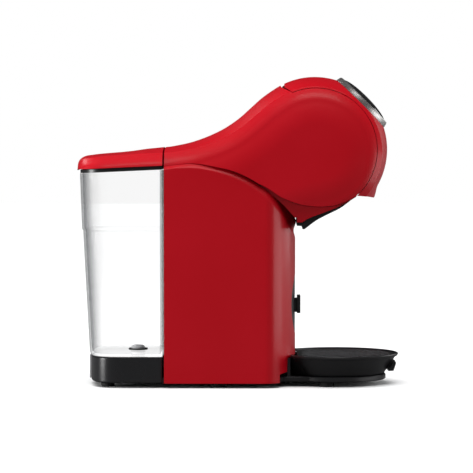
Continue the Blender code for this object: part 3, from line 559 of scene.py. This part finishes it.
def crown_line():
    """(x, z, drop, lip) along the crown, closed far below the part of the shell that is kept."""
    neck = [(SHELL_REAR_X, 0.0, 5.0), (-105.0, 0.2, 5.0), (-80.0, 0.9, 5.0), (-65.0, 2.2, 5.0),
            (-59.6, 2.85, 5.1), (-45.8, 5.6, 5.7), (-34.3, 9.1, 6.4), (-22.9, 13.7, 7.0),
            (-11.4, 19.6, 7.5), (0.1, 27.5, 7.8), (9.3, 35.6, 8.2), (19.4, 44.8, 8.6),
            (26.0, 49.9, 8.9)]
    line = [(x, HEAD_Z + z, drop, 0.0) for x, z, drop in smooth_path(neck, 6)]
    for i in range(99):
        degrees = NECK_END + (SHELL_END - NECK_END) * i / 98
        reach = min(1.0, max(0.0, (LIP_START - degrees) / LIP_FADE))
        lip = LIP_REACH * reach * reach * (3 - 2 * reach)
        line.append((*on_head(HEAD_R, degrees), head_drop(degrees), lip))
    end_x, end_z = line[-1][:2]
    line += [(end_x - 40.0, end_z - 12.0, LIP_DROP, 0.0), (end_x - 80.0, end_z - 20.0, LIP_DROP, 0.0),
             (-60.0, end_z - 45.0, 5.0, 0.0), (SHELL_REAR_X, end_z - 45.0, 5.0, 0.0)]
    return line


def bezier(t, a, b, c, d):
    s = 1 - t
    return s ** 3 * a + 3 * s * s * t * b + 3 * s * t * t * c + t ** 3 * d


def shell_profile(inset):
    """(y, share of the drop, fall) from the middle plane out over the shoulder and the cheek."""
    rows = [(RIDGE_Y * share, share ** 2, 0.0) for share in (i / 8 for i in range(9))]
    wide = CHEEK_Y - RIDGE_Y - inset
    deep = SHOULDER_DEPTH - inset
    for i in range(1, 12):
        t = i / 11
        y = RIDGE_Y + bezier(t, 0, 0.34 * wide, 0.90 * wide, wide)
        rows.append((y, 1.0, bezier(t, 0, 0.42 * wide, 0.55 * deep, deep)))
    for i in range(1, CHEEK_ROWS + 1):
        t = i / CHEEK_ROWS
        bulge = (HALF_WIDTH - CHEEK_Y) * (1 - (1 - t) ** 2)
        rows.append((CHEEK_Y - inset + bulge, 1.0, deep + CHEEK_DEPTH * t))
    return rows


def shell_rings(line, inset):
    """One ring along the crown line for each row of the profile, from right to left."""
    count = len(line)
    inward = []
    for i in range(count):
        along = Vector(line[(i + 1) % count][:2]) - Vector(line[i - 1][:2])
        along.normalize()
        inward.append(Vector((along.y, -along.x)))
    half = shell_profile(inset)
    rows = [(-y, share, fall) for y, share, fall in reversed(half)] + half[1:]
    rings = []
    for y, share, fall in rows:
        ring = []
        for (x, z, drop, lip), direction in zip(line, inward):
            spot = Vector((x, z)) + direction * (drop * share + fall + inset - lip * (1 - share))
            ring.append((spot.x, y, spot.y))
        rings.append(ring)
    return rings


def upper_shell(name):
    """The head and neck in one piece, and the tool that hollows them."""
    line = crown_line()
    shell = loft(name, shell_rings(line, 0.0), "red_gloss")
    return shell, loft(name + "_hollow", shell_rings(line, WALL))


def handle_region(gap):
    """Side outline of the handle or, with a gap below zero, of the notch it lies in."""
    notch = gap < 0
    rear = NOTCH_REAR_X if notch else HANDLE_REAR_X
    lean = NOTCH_LEAN if notch else 0.0
    outline = [(rear - lean, HEAD_Z + 90), (rear - lean, HINGE.z + 2.4), (rear, HINGE.z + 0.7)]
    for i in range(81):
        degrees = SEAM_START + (SEAM_END - SEAM_START) * i / 80
        outline.append(on_head(SEAM_R + gap, degrees))
    end_x = outline[-1][0]
    if notch:
        outline += from_head([(end_x, -90), (end_x + 50, -90)])
    else:
        outline += from_head([(end_x + 9.7, -41.5), (end_x + 16.5, -43.1), (end_x + 50, -43.1)])
    outline.append((end_x + 50, HEAD_Z + 90))
    return outline


def waist_line():
    """Where the upper shell and the chin meet the lower casing."""
    line = [(-75.0, -14.4), (-64.2, -14.1), (-45.1, -11.9), (-34.2, -12.3), (-22.8, -14.3),
            (-7.8, -17.5), (4.0, -21.9), (15.8, -28.2), (27.6, -36.5), (39.4, -46.6),
            (48.4, -56.3), (56.0, -64.4)]
    return from_head(smooth_path(line, 4))


def bulge_line():
    """Where the chin meets the upper shell."""
    line = [(21.0, -31.0), (27.4, -34.6), (37.1, -41.2), (45.1, -44.8), (53.9, -47.9),
            (63.0, -49.5), (74.8, -50.1), (86.5, -48.8), (98.4, -44.2), (104.5, -40.9)]
    return from_head(smooth_path(line, 4))


def chin_line():
    """Lower edge of the chin, from the front to the rear."""
    return from_head([(99.4, -44.6), (86.8, -51.3), (77.3, -55.0), (71.9, -57.0), (65.8, -59.3),
                      (61.0, -61.4), (57.0, -64.2), (CHIN_REAR_X, -64.4)])


def height_on(line, x):
    """Height of a line of (x, z) points at x."""
    for (x0, z0), (x1, z1) in zip(line, line[1:]):
        if x0 <= x <= x1:
            return z0 + (z1 - z0) * (x - x0) / (x1 - x0)
    return line[0][1] if x < line[0][0] else line[-1][1]


def head_casing():
    casing, hollow = upper_shell("head_skin")
    rear = box("rear_tool", (REAR_END_X, BODY_REAR), (-WIDE, WIDE), (HEAD_Z - 200, HEAD_Z + 90))
    waist = [(x, z - 0.2) for x, z in waist_line() if x < 19]
    low = [(REAR_END_X, waist[0][1])] + waist + bulge_line()
    low += from_head([(110, -38), (160, -38), (160, -200), (REAR_END_X, -200)])
    under = prism_y("under_tool", low, -WIDE, WIDE)
    front = prism_y("front_tool", handle_region(-SEAM / 2), -WIDE, WIDE)
    knuckle = disc("knuckle_tool", KNUCKLE_R + 0.6, -BRACKET_END, BRACKET_END, HINGE, "Y", steps=32)
    cut(casing, hollow, rear, under, front, knuckle)
    place(bake(casing), "machine", "red_gloss", "head_casing")


def locking_handle():
    handle, hollow = upper_shell("handle_skin")
    cut(handle, hollow)
    space = prism_y("space_tool", handle_region(SEAM / 2), -WIDE, WIDE)
    cut(handle, space, operation="INTERSECT")
    seat = disc("seat_tool", DIAL_R + 1.0, -WALL - 2.6, -1.0, DIAL, "DIAL")
    cut(handle, seat, operation="UNION")
    flat = [(DIAL.x - 60, DIAL.z + 60), (DIAL.x + 60, DIAL.z - 60),
            (DIAL.x + 120, DIAL.z), (DIAL.x, DIAL.z + 120)]
    bore = disc("bore_tool", 18.0, -12, 6, DIAL, "DIAL")
    cut(handle, prism_y("flat_tool", flat, -WIDE, WIDE), bore)
    knuckle = disc("knuckle_tool", KNUCKLE_R, -HINGE_HALF, HINGE_HALF, HINGE, "Y", steps=32)
    cut(handle, knuckle, operation="UNION", sharp=18)
    slots = [box("slot_tool_%d" % side, (HINGE.x - 3.0, HINGE.x + 3.0),
                 sorted((side * (HINGE_HALF - 0.1), side * BRACKET_END)),
                 (HINGE.z - 30, HINGE.z + 2.9)) for side in (-1, 1)]
    cut(handle, *slots, sharp=18)
    place(bake(handle), "handle", "red_gloss", "locking_handle")


def chin_taper(inset):
    """Block whose sides lean in towards the outlet."""
    high = CHIN_HALF - inset
    low = OUTLET_HALF + 1.0 - inset
    edge = [(high, HEAD_Z - 10), (high, HEAD_Z - 36)]
    for i in range(1, 11):
        bend = (i / 10) ** 1.5
        edge.append((high + (low - high) * bend, HEAD_Z - 36 - 30 * i / 10))
    edge.append((low, HEAD_Z - 80))
    outline = edge + [(-y, z) for y, z in reversed(edge)]
    return loft("taper_tool", [[(x, y, z) for y, z in outline] for x in (-10, 150)])


def chin_cover():
    top = [(x, z - SEAM) for x, z in bulge_line()]
    waist = [(x, z - TUCK) for x, z in waist_line() if 18 < x < 51]
    outline = top + chin_line() + [(CHIN_REAR_X, HEAD_Z - 59.8)] + waist[::-1]
    across = (-HALF_WIDTH, HALF_WIDTH)
    chin = prism_y("chin_skin", outline, *across, "red_gloss")
    cut(chin, chin_taper(0.0), operation="INTERSECT", sharp=25)
    inner = [(95.5, HEAD_Z - 20)] + [(x, z + WALL) for x, z in chin_line()[1:-1]]
    inner += from_head([(CHIN_REAR_X + WALL, -60), (CHIN_REAR_X + WALL, -20)])
    front = prism_y("chin_tool", inner, *across)
    neck = box("neck_tool", (16, CHIN_REAR_X - WALL), across, (HEAD_Z - 70, HEAD_Z - 20))
    cut(front, chin_taper(WALL), operation="INTERSECT")
    cut(neck, chin_taper(WALL), operation="INTERSECT")
    hole = disc("outlet_tool", OUTLET_R + 4.0, -80, -30, (HEAD_X, 0, HEAD_Z))
    cut(chin, front, neck, hole)
    soften(chin, 1.2)
    place(bake(chin, weighted=False), "machine", "red_gloss", "chin_cover")


def column_point(share, inset=0.0):
    """A point of the column's plan: share 0 to 1 runs from the right rear to the left rear."""
    half = BODY_HALF - inset
    length = COLUMN_FRONT - inset - FLAT_END_X
    side = FLAT_END_X - BODY_REAR
    curve = 0.5 * math.pi * math.sqrt((half ** 2 + length ** 2) / 2)
    walk = share * 2 * (side + curve)
    if walk < side:
        return (BODY_REAR + walk, -half)
    if walk > side + 2 * curve:
        return (BODY_REAR + 2 * (side + curve) - walk, half)
    angle = math.pi * ((walk - side) / (2 * curve) - 0.5)
    return (FLAT_END_X + length * math.cos(angle), half * math.sin(angle))


def column_plan(inset):
    return [column_point(i / 90, inset) for i in range(91)]


def body_column(share, waist):
    """Points up the lower casing: straight to the crease, then leaning in or hollowed in front."""
    x, y = column_point(share)
    front = max(0.0, (x - COVE_X) / (COLUMN_FRONT - COVE_X))
    arc = math.sqrt(max(0.0, CREASE_R ** 2 - (x - CREASE_X) ** 2)) + CREASE_Z
    top = height_on(waist, x) if x < 48.4 else HEAD_Z - 56.3 - (x - 48.4) * 2.9
    crease = min(arc, top - 1.6)
    column = [(x, y, BODY_LOW.z + (crease - BODY_LOW.z) * (i / 14)) for i in range(15)]
    for step in (i / 12 for i in range(1, 13)):
        slope = 2.6 * step ** 1.3
        flare = 0.9 * max(0.0, (step - 0.55) / 0.45) ** 2
        cove = 1.4 * math.sin(min(1.0, step * 1.15) * math.pi) ** 2 - flare
        inward = slope * (1 - front) + cove * front
        column.append((*column_point(share, inward), crease + (top - crease) * step))
    return column


def body_casing():
    """Lower casing: flat sides, rounded column, a long crease and a cove under the chin."""
    waist = waist_line()
    columns = [body_column(i / BODY_COLUMNS, waist) for i in range(BODY_COLUMNS + 1)]
    skin = grid("body_skin", [list(row) for row in zip(*columns)], "red_gloss", 28.0)
    wall = skin.modifiers.new("wall", "SOLIDIFY")
    wall.thickness = WALL * MM
    wall.offset = -1.0
    bake(skin, weighted=False)
    wide = BODY_HALF + 10
    toe = [(70, TOE_TOP), (49.9, TOE_TOP), (44.1, 25.8), (43.6, 13.5), (37.2, 12.0), (37.0, 0), (70, 0)]
    cut(skin, prism_y("toe_tool", toe, -wide, wide))
    cut(skin, disc("inset_tool", INSET_R, -10, 10, (COLUMN_FRONT, 0, INSET_Z), "X"))
    place(bake(skin), "machine", "red_gloss", "body_casing")


# Lid ------------------------------------------------------------------------------------------
def lid_station(share):
    """(x, top, drop, half width) along the lid, share 0 at the seam and 1 at the rear end."""
    front = TANK_HIGH.x
    rear = TANK_LOW.x - 2.2
    bend = 12.0
    straight = front - rear - bend
    crown = [(0.0, 2.15, 5.0), (15.8, 0.6, 3.6), (28.0, -1.2, 2.8), (38.5, -2.3, 2.4),
             (50.0, -3.2, 2.3), (60.0, -4.1, 2.4), (66.0, -5.0, 2.6)]
    if share < LID_STRAIGHT:
        back = straight * share / LID_STRAIGHT
        turn = 0.0
    else:
        angle = (share - LID_STRAIGHT) / LID_BENT * math.pi / 2
        back = straight + bend * math.sin(angle)
        turn = 1 - math.cos(angle)
    lift = height_on([(x, z) for x, z, _ in crown], back)
    drop = height_on([(x, d) for x, _, d in crown], back)
    x = front - back
    reach = max(0.0, (TANK_LOW.x + 26.8 - x) / 29.0)
    half = (HALF_WIDTH - 0.7) * max(0.02, 1 - min(reach, 0.9999) ** 3) ** (1 / 3)
    return x, HEAD_Z + lift - turn * 8.0, drop + turn * 0.9, half


def rim_rise(x):
    """How far the tank's rim stands above its rear end at x."""
    return RIM_RISE * (x - TANK_LOW.x) / (TANK_HIGH.x - TANK_LOW.x)


def lid_edge(x):
    """Height of the lid's slanting lower edge at x."""
    return LID_REAR_EDGE + rim_rise(x)


def lid_ring(share, inset, low):
    """The lid across, open below: domed top, round shoulders and a straight lower edge."""
    x, top, drop, half = lid_station(share)
    scale = (half - inset) / HALF_WIDTH
    bottom = lid_edge(x)
    depth = max(2.0, top - drop - bottom)
    profile = [(RIDGE_Y * step * scale, top - inset - drop * step ** 2)
               for step in (i / 8 for i in range(9))]
    wide = (HALF_WIDTH - RIDGE_Y) * scale
    for i in range(1, 10):
        t = i / 9
        y = RIDGE_Y * scale + bezier(t, 0, 0.36 * wide, 0.9 * wide, wide)
        fall = bezier(t, 0, 0.36 * wide, 0.5 * depth, depth - inset)
        profile.append((y, top - inset - drop - fall))
    profile.append((profile[-1][0], bottom - low))
    return [(x, -y, z) for y, z in reversed(profile)] + [(x, y, z) for y, z in profile[1:]]


def tank_lid():
    shares = [i / 30 * LID_STRAIGHT for i in range(31)]
    shares += [LID_STRAIGHT + LID_BENT * i / 18 for i in range(1, 19)]
    cover = loft("lid_skin", [lid_ring(s, 0.0, 0.0) for s in shares], "red_gloss")
    inner = [lid_ring(s, LID_WALL, 6.0) for s in shares[:-4]]
    inner[0] = [(x - LID_WALL, y, z) for x, y, z in inner[0]]
    hollow = loft("lid_tool", [ring for ring in inner if ring[0][0] <= inner[0][0][0]])
    relief = box("relief_tool", (TANK_HIGH.x - 5.4, TANK_HIGH.x + 2), (-10, 10),
                 (HEAD_Z - 30, HEAD_Z - 1.2))
    cut(cover, hollow, relief)
    place(bake(cover), "lid", "red_gloss", "tank_lid")


def lid_liner():
    """Thin black band between the tank's rim and the lid."""
    front = TANK_HIGH.x - 0.4
    plan = rear_plan(front, TANK_LOW.x + 0.3, TANK_HIGH.y - 0.4)
    low = [(x, y, LINER_LOW.z + rim_rise(x)) for x, y in plan]
    high = [(x, y, lid_edge(x) - 0.6) for x, y in plan]
    liner = loft("liner_skin", [low, high], "black_plastic")
    cut(liner, box("liner_tool", (front - 5.6, front + 3), (-10, 10), (HEAD_Z - 30, HEAD_Z + 5)))
    place(bake(liner, weighted=False), "lid", "black_plastic", "lid_liner")


# Tank and base --------------------------------------------------------------------------------
def rear_plan(front_x, rear_x, half):
    """Flat front and a full round rear, seen from above."""
    left = []
    for i in range(28):
        angle = math.pi / 2 * i / 28
        x = rear_x + REAR_ROUND * (1 - math.cos(angle) ** (2 / 3))
        left.append((x, math.sin(angle) ** (2 / 3) * half))
    left.append((rear_x + REAR_ROUND, half))
    return [(front_x, half)] + left[::-1] + [(x, -y) for x, y in left[1:]] + [(front_x, -half)]


def round_front(outline, radius=2.0):
    """Round the two sharp front corners of a rear_plan outline."""
    front_x, half = outline[0]
    bend = []
    for i in range(4, -1, -1):
        angle = math.pi / 2 * i / 4
        bend.append((front_x - radius + radius * math.sin(angle), half - radius + radius * math.cos(angle)))
    return bend + outline[1:-1] + [(x, -y) for x, y in reversed(bend)]


def tank_rings(inset, floor, top):
    """Rings from the floor up; the last one climbs towards the front with the rim."""
    levels = [(floor, 9.6), (floor + 0.8, 8.9), (floor + 2.4, 8.3)]
    levels += [(floor + 2.4 + (TANK_STEP - 1.0 - floor - 2.4) * i / 6, 8.3 - 5.6 * i / 6)
               for i in range(1, 7)]
    levels += [(TANK_STEP + 0.3, 1.9), (TANK_STEP + 1.2, 1.7), ((TANK_STEP + top) / 2, 0.8), (top, 0.0)]
    rings = []
    for z, forward in levels:
        half = TANK_HIGH.y - inset - (0.9 if forward > 2 else 0.0)
        plan = round_front(rear_plan(TANK_HIGH.x - inset, TANK_LOW.x + forward + inset, half), 2.5)
        rings.append([(x, y, z + (rim_rise(x) if z == top else 0.0)) for x, y in plan])
    return rings


def water_tank():
    rim = TANK_HIGH.z - RIM_RISE
    tank = loft("tank_skin", tank_rings(0.0, TANK_LOW.z, rim), "clear_plastic")
    hollow = loft("tank_tool", tank_rings(TANK_WALL, TANK_LOW.z + TANK_WALL, rim + 5))
    bore = disc("valve_tool", VALVE_R, -10, 10, (VALVE_X, 0, TANK_LOW.z))
    cut(tank, hollow, bore)
    place(bake(tank), "tank", "clear_plastic", "water_tank")


def cradle_rings(low):
    """Round plate under the tray."""
    ring = [(TRAY_X + CRADLE_R * math.cos(a), CRADLE_R * math.sin(a))
            for a in (math.pi * (i / 60 - 0.5) * 1.38 for i in range(61))]
    rings = []
    for z, inset in ((low + 0.1, 0.8), (low + 0.9, 0.0), (CRADLE_TOP - 0.7, 0.0), (CRADLE_TOP, 0.7)):
        share = 1 - inset / CRADLE_R
        bend = [(TRAY_X + (x - TRAY_X) * share, y * share) for x, y in ring]
        plan = [(38.5, bend[0][1])] + bend + [(38.5, bend[-1][1])]
        rings.append([(x, y, z) for x, y in plan])
    return rings


def chassis():
    """Hollow base under the tank, joined to a floor plate, the tray's cradle and the toe block."""
    front = TANK_HIGH.x - 0.1
    rear, low = BASE_LOW.x, BASE_LOW.z
    half = BASE_HIGH.y
    edges = ((low, 1.4), (low + 0.5, 0.5), (low + 1.4, 0.0),
             (BASE_TOP - 1.6, 0.0), (BASE_TOP - 0.5, 0.4), (BASE_TOP, 1.2))
    rings = []
    for z, inset in edges:
        plan = round_front(rear_plan(front - 0.2 * inset, rear + inset, half - inset))
        rings.append([(x, y, z) for x, y in plan])
    seat = loft("base_skin", rings, "black_plastic")
    plate = [(min(x, 43.0), y) for x, y in column_plan(3.2)]
    plate = [(BODY_REAR - 6, plate[0][1])] + plate + [(BODY_REAR - 6, plate[-1][1])]
    floor = prism_z("floor_tool", plate, low + 0.2, FLOOR_TOP)
    cut(seat, floor, loft("cradle_tool", cradle_rings(low)), operation="UNION")
    toe = box("toe_tool", (TOE_X, TRAY_LOW.x - 0.4), (-TOE_HALF, TOE_HALF), (8.0, TOE_BLOCK_TOP))
    cut(seat, toe, operation="UNION")
    pocket = rear_plan(front - 4, rear + BASE_WALL, half - BASE_WALL)
    cut(seat, prism_z("pocket_tool", pocket, low - 5, BASE_TOP - BASE_WALL),
        disc("socket_tool", SOCKET_R, 10, 40, (VALVE_X, 0, 0)),
        disc("gland_tool", GLAND_R, -8, 8, GLAND_PLACE, "X"))
    place(bake(seat), "machine", "black_plastic", "chassis_base")


# Tray and grid --------------------------------------------------------------------------------
def tray_plan(radius, back_x):
    """Round, with a straight back."""
    reach = math.acos(max(-1.0, (back_x - TRAY_X) / radius))
    return [(TRAY_X + radius * math.cos(a), radius * math.sin(a))
            for a in (reach * (2 * i / 140 - 1) for i in range(141))]


def tray_rings(levels, back_x):
    return [[(x, y, z) for x, y in tray_plan(radius, back_x)] for z, radius in levels]


def drip_tray():
    back = TRAY_LOW.x
    low, top = TRAY_LOW.z, TRAY_HIGH.z
    rim = TRAY_HIGH.y
    foot = TRAY_FOOT_R
    levels = [(low, foot - 1.3), (low + 0.5, foot - 0.6), (low + 1.4, foot)]
    levels += [(low + 1.4 + (top - 4.4 - low) * i / 6, foot + (rim - 2.2 - foot) * i / 6)
               for i in range(1, 7)]
    levels += [(top - 2.6, rim - 1.0), (top - 1.6, rim - 0.2), (top - 0.7, rim),
               (top - 0.2, rim - 0.3), (top, rim - 0.9)]
    tray = loft("tray_skin", tray_rings(levels, back), "black_plastic")
    inner = [(low + TRAY_WALL, 41.5), (top - 3.2, rim - 3.6),
             (top - 3.0, rim - 2.0), (top + 3.0, rim - 1.8)]
    hollow = loft("tray_tool", tray_rings(inner, back + TRAY_WALL))
    behind = column_plan(-0.8)
    behind = [(20, behind[0][1])] + [p for p in behind if p[0] > 20] + [(20, behind[-1][1])]
    cut(tray, hollow, prism_z("column_tool", behind, TOE_BLOCK_TOP, 60))
    tab = [(TRAY_X + 45.5, 13.0), (TRAY_X + 47.0, 12.2), (TRAY_X + 51.0, 12.6),
           (TRAY_X + 53.4, 19.6), (TRAY_X + 51.5, 20.2)]
    cut(tray, prism_y("tab_tool", tab, -16, 16), operation="UNION")
    place(bake(tray), "tray", "black_plastic", "drip_tray")


def drip_grid():
    """Polished grid: a rim and fine parallel slots."""
    radius = GRID_HIGH.y
    low, top = GRID_LOW.z, GRID_HIGH.z
    plate = prism_z("grid_skin", tray_plan(radius, GRID_LOW.x), low, top, "grid_metal")
    pitch = 2 * (radius - 9) / GRID_SLOTS
    half = pitch * 0.22
    arc = [math.pi * (k / 8 - 0.5) for k in range(9)]
    tools = []
    for i in range(GRID_SLOTS):
        y = (i - (GRID_SLOTS - 1) / 2) * pitch
        reach = math.sqrt(max(9.0, (radius - 5) ** 2 - (abs(y) + half) ** 2))
        x0 = max(TRAY_X - reach, GRID_LOW.x + 5)
        x1 = TRAY_X + reach
        ends = [(x1 - half + half * math.cos(a), y + half * math.sin(a)) for a in arc]
        ends += [(x0 + half - half * math.cos(a), y - half * math.sin(a)) for a in arc]
        tools.append(prism_z("slot_tool_%d" % i, ends, low - 5, top + 5))
    cut(plate, *tools)
    soften(plate, 0.35, 2)
    place(bake(plate, weighted=False), "grid", "grid_metal", "drip_grid")


# Dial -----------------------------------------------------------------------------------------
def dial():
    """Brushed ring, and the domed black button inside it."""
    profile = [(DIAL_R, 0.35), (DIAL_R, 1.2), (29.7, 2.6), (29.3, 4.0), (29.05, 4.6), (28.75, 5.0),
               (28.3, 5.2), (27.9, 5.15), (27.45, 4.8), (DIAL_BORE_R, 4.2), (DIAL_BORE_R, 0.35)]
    ring = turned("ring_skin", profile, DIAL, "DIAL", "brushed_metal", 160, 40)
    place(ring, "dial", "brushed_metal", "selector_ring")
    profile = [(0, 2.8), (DOME_R - 0.4, 2.8), (DOME_R, 3.2), (DOME_R, DOME_FOOT)]
    for i in range(1, 15):
        angle = i / 15 * math.pi / 2
        profile.append((DOME_R * math.cos(angle) ** 0.9, DOME_FOOT + DOME_RISE * math.sin(angle) ** 1.1))
    profile.append((0, DOME_FOOT + DOME_RISE))
    dome = turned("dome_skin", profile, DIAL, "DIAL", "gloss_black", 128, 40)
    place(dome, "button", "gloss_black", "start_button")


# Column front, outlet -------------------------------------------------------------------------
def column_inset():
    """Round plate that follows the curve of the column, slotted for the hook."""
    radius = INSET_R - 0.4
    steps = [radius * k / 20 for k in range(1, 20)]
    profile = [(0, -2.4)] + [(r, -2.4) for r in steps]
    profile += [(radius, -2.4), (radius, -0.9), (radius - 0.3, -0.35)]
    profile += [(r, -0.2) for r in reversed(steps)] + [(0, -0.2)]
    plate = turned("inset_skin", profile, (COLUMN_FRONT, 0, INSET_Z), "X", "black_plastic")
    for point in plate.data.vertices:
        share = point.co.y / MM / BODY_HALF
        point.co.x -= (COLUMN_FRONT - FLAT_END_X) * (1 - math.sqrt(1 - share ** 2)) * MM
    cut(plate, box("slot_tool", (40, 60), (-7, 7), (INSET_Z - 9.0, INSET_Z + 8.4)))
    place(bake(plate), "machine", "black_plastic", "column_inset")


def tray_hook():
    hook = box("hook_skin", (COLUMN_FRONT - 4, COLUMN_FRONT + 2.4), (-5, 5),
               (INSET_Z - 7.5, INSET_Z + 5.0), "black_plastic")
    head = box("hook_head_tool", (COLUMN_FRONT + 1.6, COLUMN_FRONT + 4.7), (-9, 9),
               (INSET_Z - 8.3, INSET_Z + 7.5))
    cut(hook, head, operation="UNION")
    soften(hook, 0.9)
    place(bake(hook, weighted=False), "machine", "black_plastic", "tray_hook")


def outlet_frame():
    """Black scoop under the chin, bored for the coffee outlet."""
    top = [(x, z - 0.35) for x, z in chin_line()]
    scoop_line = smooth_path([(58.8, -70.4), (61.0, -68.8), (69.0, -62.8), (79.0, -57.4),
                              (90.0, -52.0), (98.4, -45.9)], 3)
    low = from_head([(CHIN_REAR_X, -67.4), (56.6, -67.6), (57.2, -70.4)] + scoop_line)
    scoop = prism_y("outlet_skin", top + low, -OUTLET_HALF, OUTLET_HALF, "black_plastic")
    cut(scoop, disc("outlet_tool", OUTLET_R, -90, -30, (HEAD_X, 0, HEAD_Z)))
    soften(scoop, 0.8)
    place(bake(scoop, weighted=False), "machine", "black_plastic", "outlet_frame")


def finish_cad_nodes():
    """The CAD nodes that stay get their material and softened edges."""
    slots = {part["node"]: part["material_slot"] for part in frame["record"]["subparts"]}
    for name, obj in frame["nodes"].items():
        if obj.type != "MESH":
            continue
        look = LOOKS[slots[name]]
        if not obj.material_slots:
            obj.data.materials.append(look)
        for material_slot in obj.material_slots:
            material_slot.material = look
        if not obj.hide_render:
            soften(obj, 0.3, 2, 50)


# Stage, all in metres -------------------------------------------------------------------------
def aim(obj, where, target):
    """Put a light or the camera in the scene, pointing at the target."""
    obj.location = where
    obj.rotation_euler = (Vector(target) - Vector(where)).to_track_quat("-Z", "Y").to_euler()
    bpy.context.collection.objects.link(obj)


def emitter(name, where, target, size, watts):
    light = bpy.data.lights.new(name, "AREA")
    light.shape = "RECTANGLE"
    light.size, light.size_y = size
    light.energy = watts
    obj = bpy.data.objects.new(name, light)
    obj.visible_camera = False
    aim(obj, where, target)


def by_ray(nodes, links, ray, others, this):
    """One shader for this kind of ray and another one for all others."""
    path = nodes.new("ShaderNodeLightPath")
    mix = nodes.new("ShaderNodeMixShader")
    links.new(path.outputs[ray], mix.inputs["Fac"])
    links.new(others, mix.inputs[1])
    links.new(this, mix.inputs[2])
    return mix.outputs["Shader"]


def pale_floor():
    """Pale to the camera, but dark to other rays, so that it throws little light back."""
    side = 6
    corners = [(-side, -side, 0), (side, -side, 0), (side, side, 0), (-side, side, 0)]
    floor = bpy.data.meshes.new("floor")
    floor.from_pydata(corners, [], [(0, 1, 2, 3)])
    obj = bpy.data.objects.new("floor", floor)
    bpy.context.collection.objects.link(obj)
    made, nodes, links, shader = new_material("floor_pale")
    speckle = add_noise(nodes, links, 3.0, 2.0)
    tint(nodes, links, speckle.outputs["Fac"], *grey(0.95, 0.97), shader.inputs["Base Color"])
    shader.inputs["Roughness"].default_value = 0.55
    shader.inputs["Specular IOR Level"].default_value = 0.2
    mirrored = nodes.new("ShaderNodeBsdfDiffuse")
    mirrored.inputs["Color"].default_value = (0.12, 0.12, 0.12, 1)
    mixed = by_ray(nodes, links, "Is Camera Ray", mirrored.outputs["BSDF"], shader.outputs["BSDF"])
    links.new(mixed, nodes["Material Output"].inputs["Surface"])
    floor.materials.append(made)


def background(node, colour, strength):
    node.inputs["Color"].default_value = (*colour, 1)
    node.inputs["Strength"].default_value = strength
    return node.outputs["Background"]


def studio_world():
    """White to the camera, a soft fill as light and almost dark in reflections."""
    world = bpy.data.worlds.new("studio")
    bpy.context.scene.world = world
    world.use_nodes = True
    nodes, links = world.node_tree.nodes, world.node_tree.links
    seen = background(nodes["Background"], (1, 1, 1), 1.0)
    fill = background(nodes.new("ShaderNodeBackground"), (0.96, 0.98, 1), 0.30)
    mirrored = background(nodes.new("ShaderNodeBackground"), (1, 1, 1), 0.03)
    unseen = by_ray(nodes, links, "Is Glossy Ray", fill, mirrored)
    mixed = by_ray(nodes, links, "Is Camera Ray", unseen, seen)
    links.new(mixed, nodes["World Output"].inputs["Surface"])


def lights():
    sun = bpy.data.lights.new("even_top", "SUN")
    sun.energy = 3.4
    sun.angle = math.radians(70)
    lamp = bpy.data.objects.new("even_top", sun)
    lamp.rotation_euler = (math.radians(12), math.radians(-6), 0)
    lamp.visible_glossy = False
    bpy.context.collection.objects.link(lamp)
    emitter("top_soft", (0.1, -0.75, 1.1), (0.03, 0, 0.22), (0.7, 0.35), 2.4)
    emitter("front_strip", (1.0, 0.55, 0.35), (0.02, 0, 0.12), (0.8, 0.6), 3.2)
    emitter("front_low", (0.5, -0.1, 0.02), (0.1, 0, 0.19), (0.4, 0.4), 1.6)
    emitter("rear_strip_light", (-1.1, -0.35, 0.16), (-0.1, 0, 0.05), (0.5, 0.4), 10)
    emitter("rear_top", (-0.9, 0.75, 0.95), (0.1, 0, 0.24), (0.5, 0.5), 3)


def camera():
    data = bpy.data.cameras.new("camera")
    data.lens = 196
    data.clip_start = 0.05
    obj = bpy.data.objects.new("camera", data)
    aim(obj, (0.025, -2.32, 0.2245), (-0.0018, 0, 0.1323))
    bpy.context.scene.camera = obj


bpy.context.scene.view_settings.view_transform = "Standard"
camera()
pale_floor()
studio_world()
lights()
head_casing()
locking_handle()
chin_cover()
body_casing()
tank_lid()
lid_liner()
water_tank()
chassis()
drip_tray()
drip_grid()
dial()
column_inset()
tray_hook()
outlet_frame()
finish_cad_nodes()
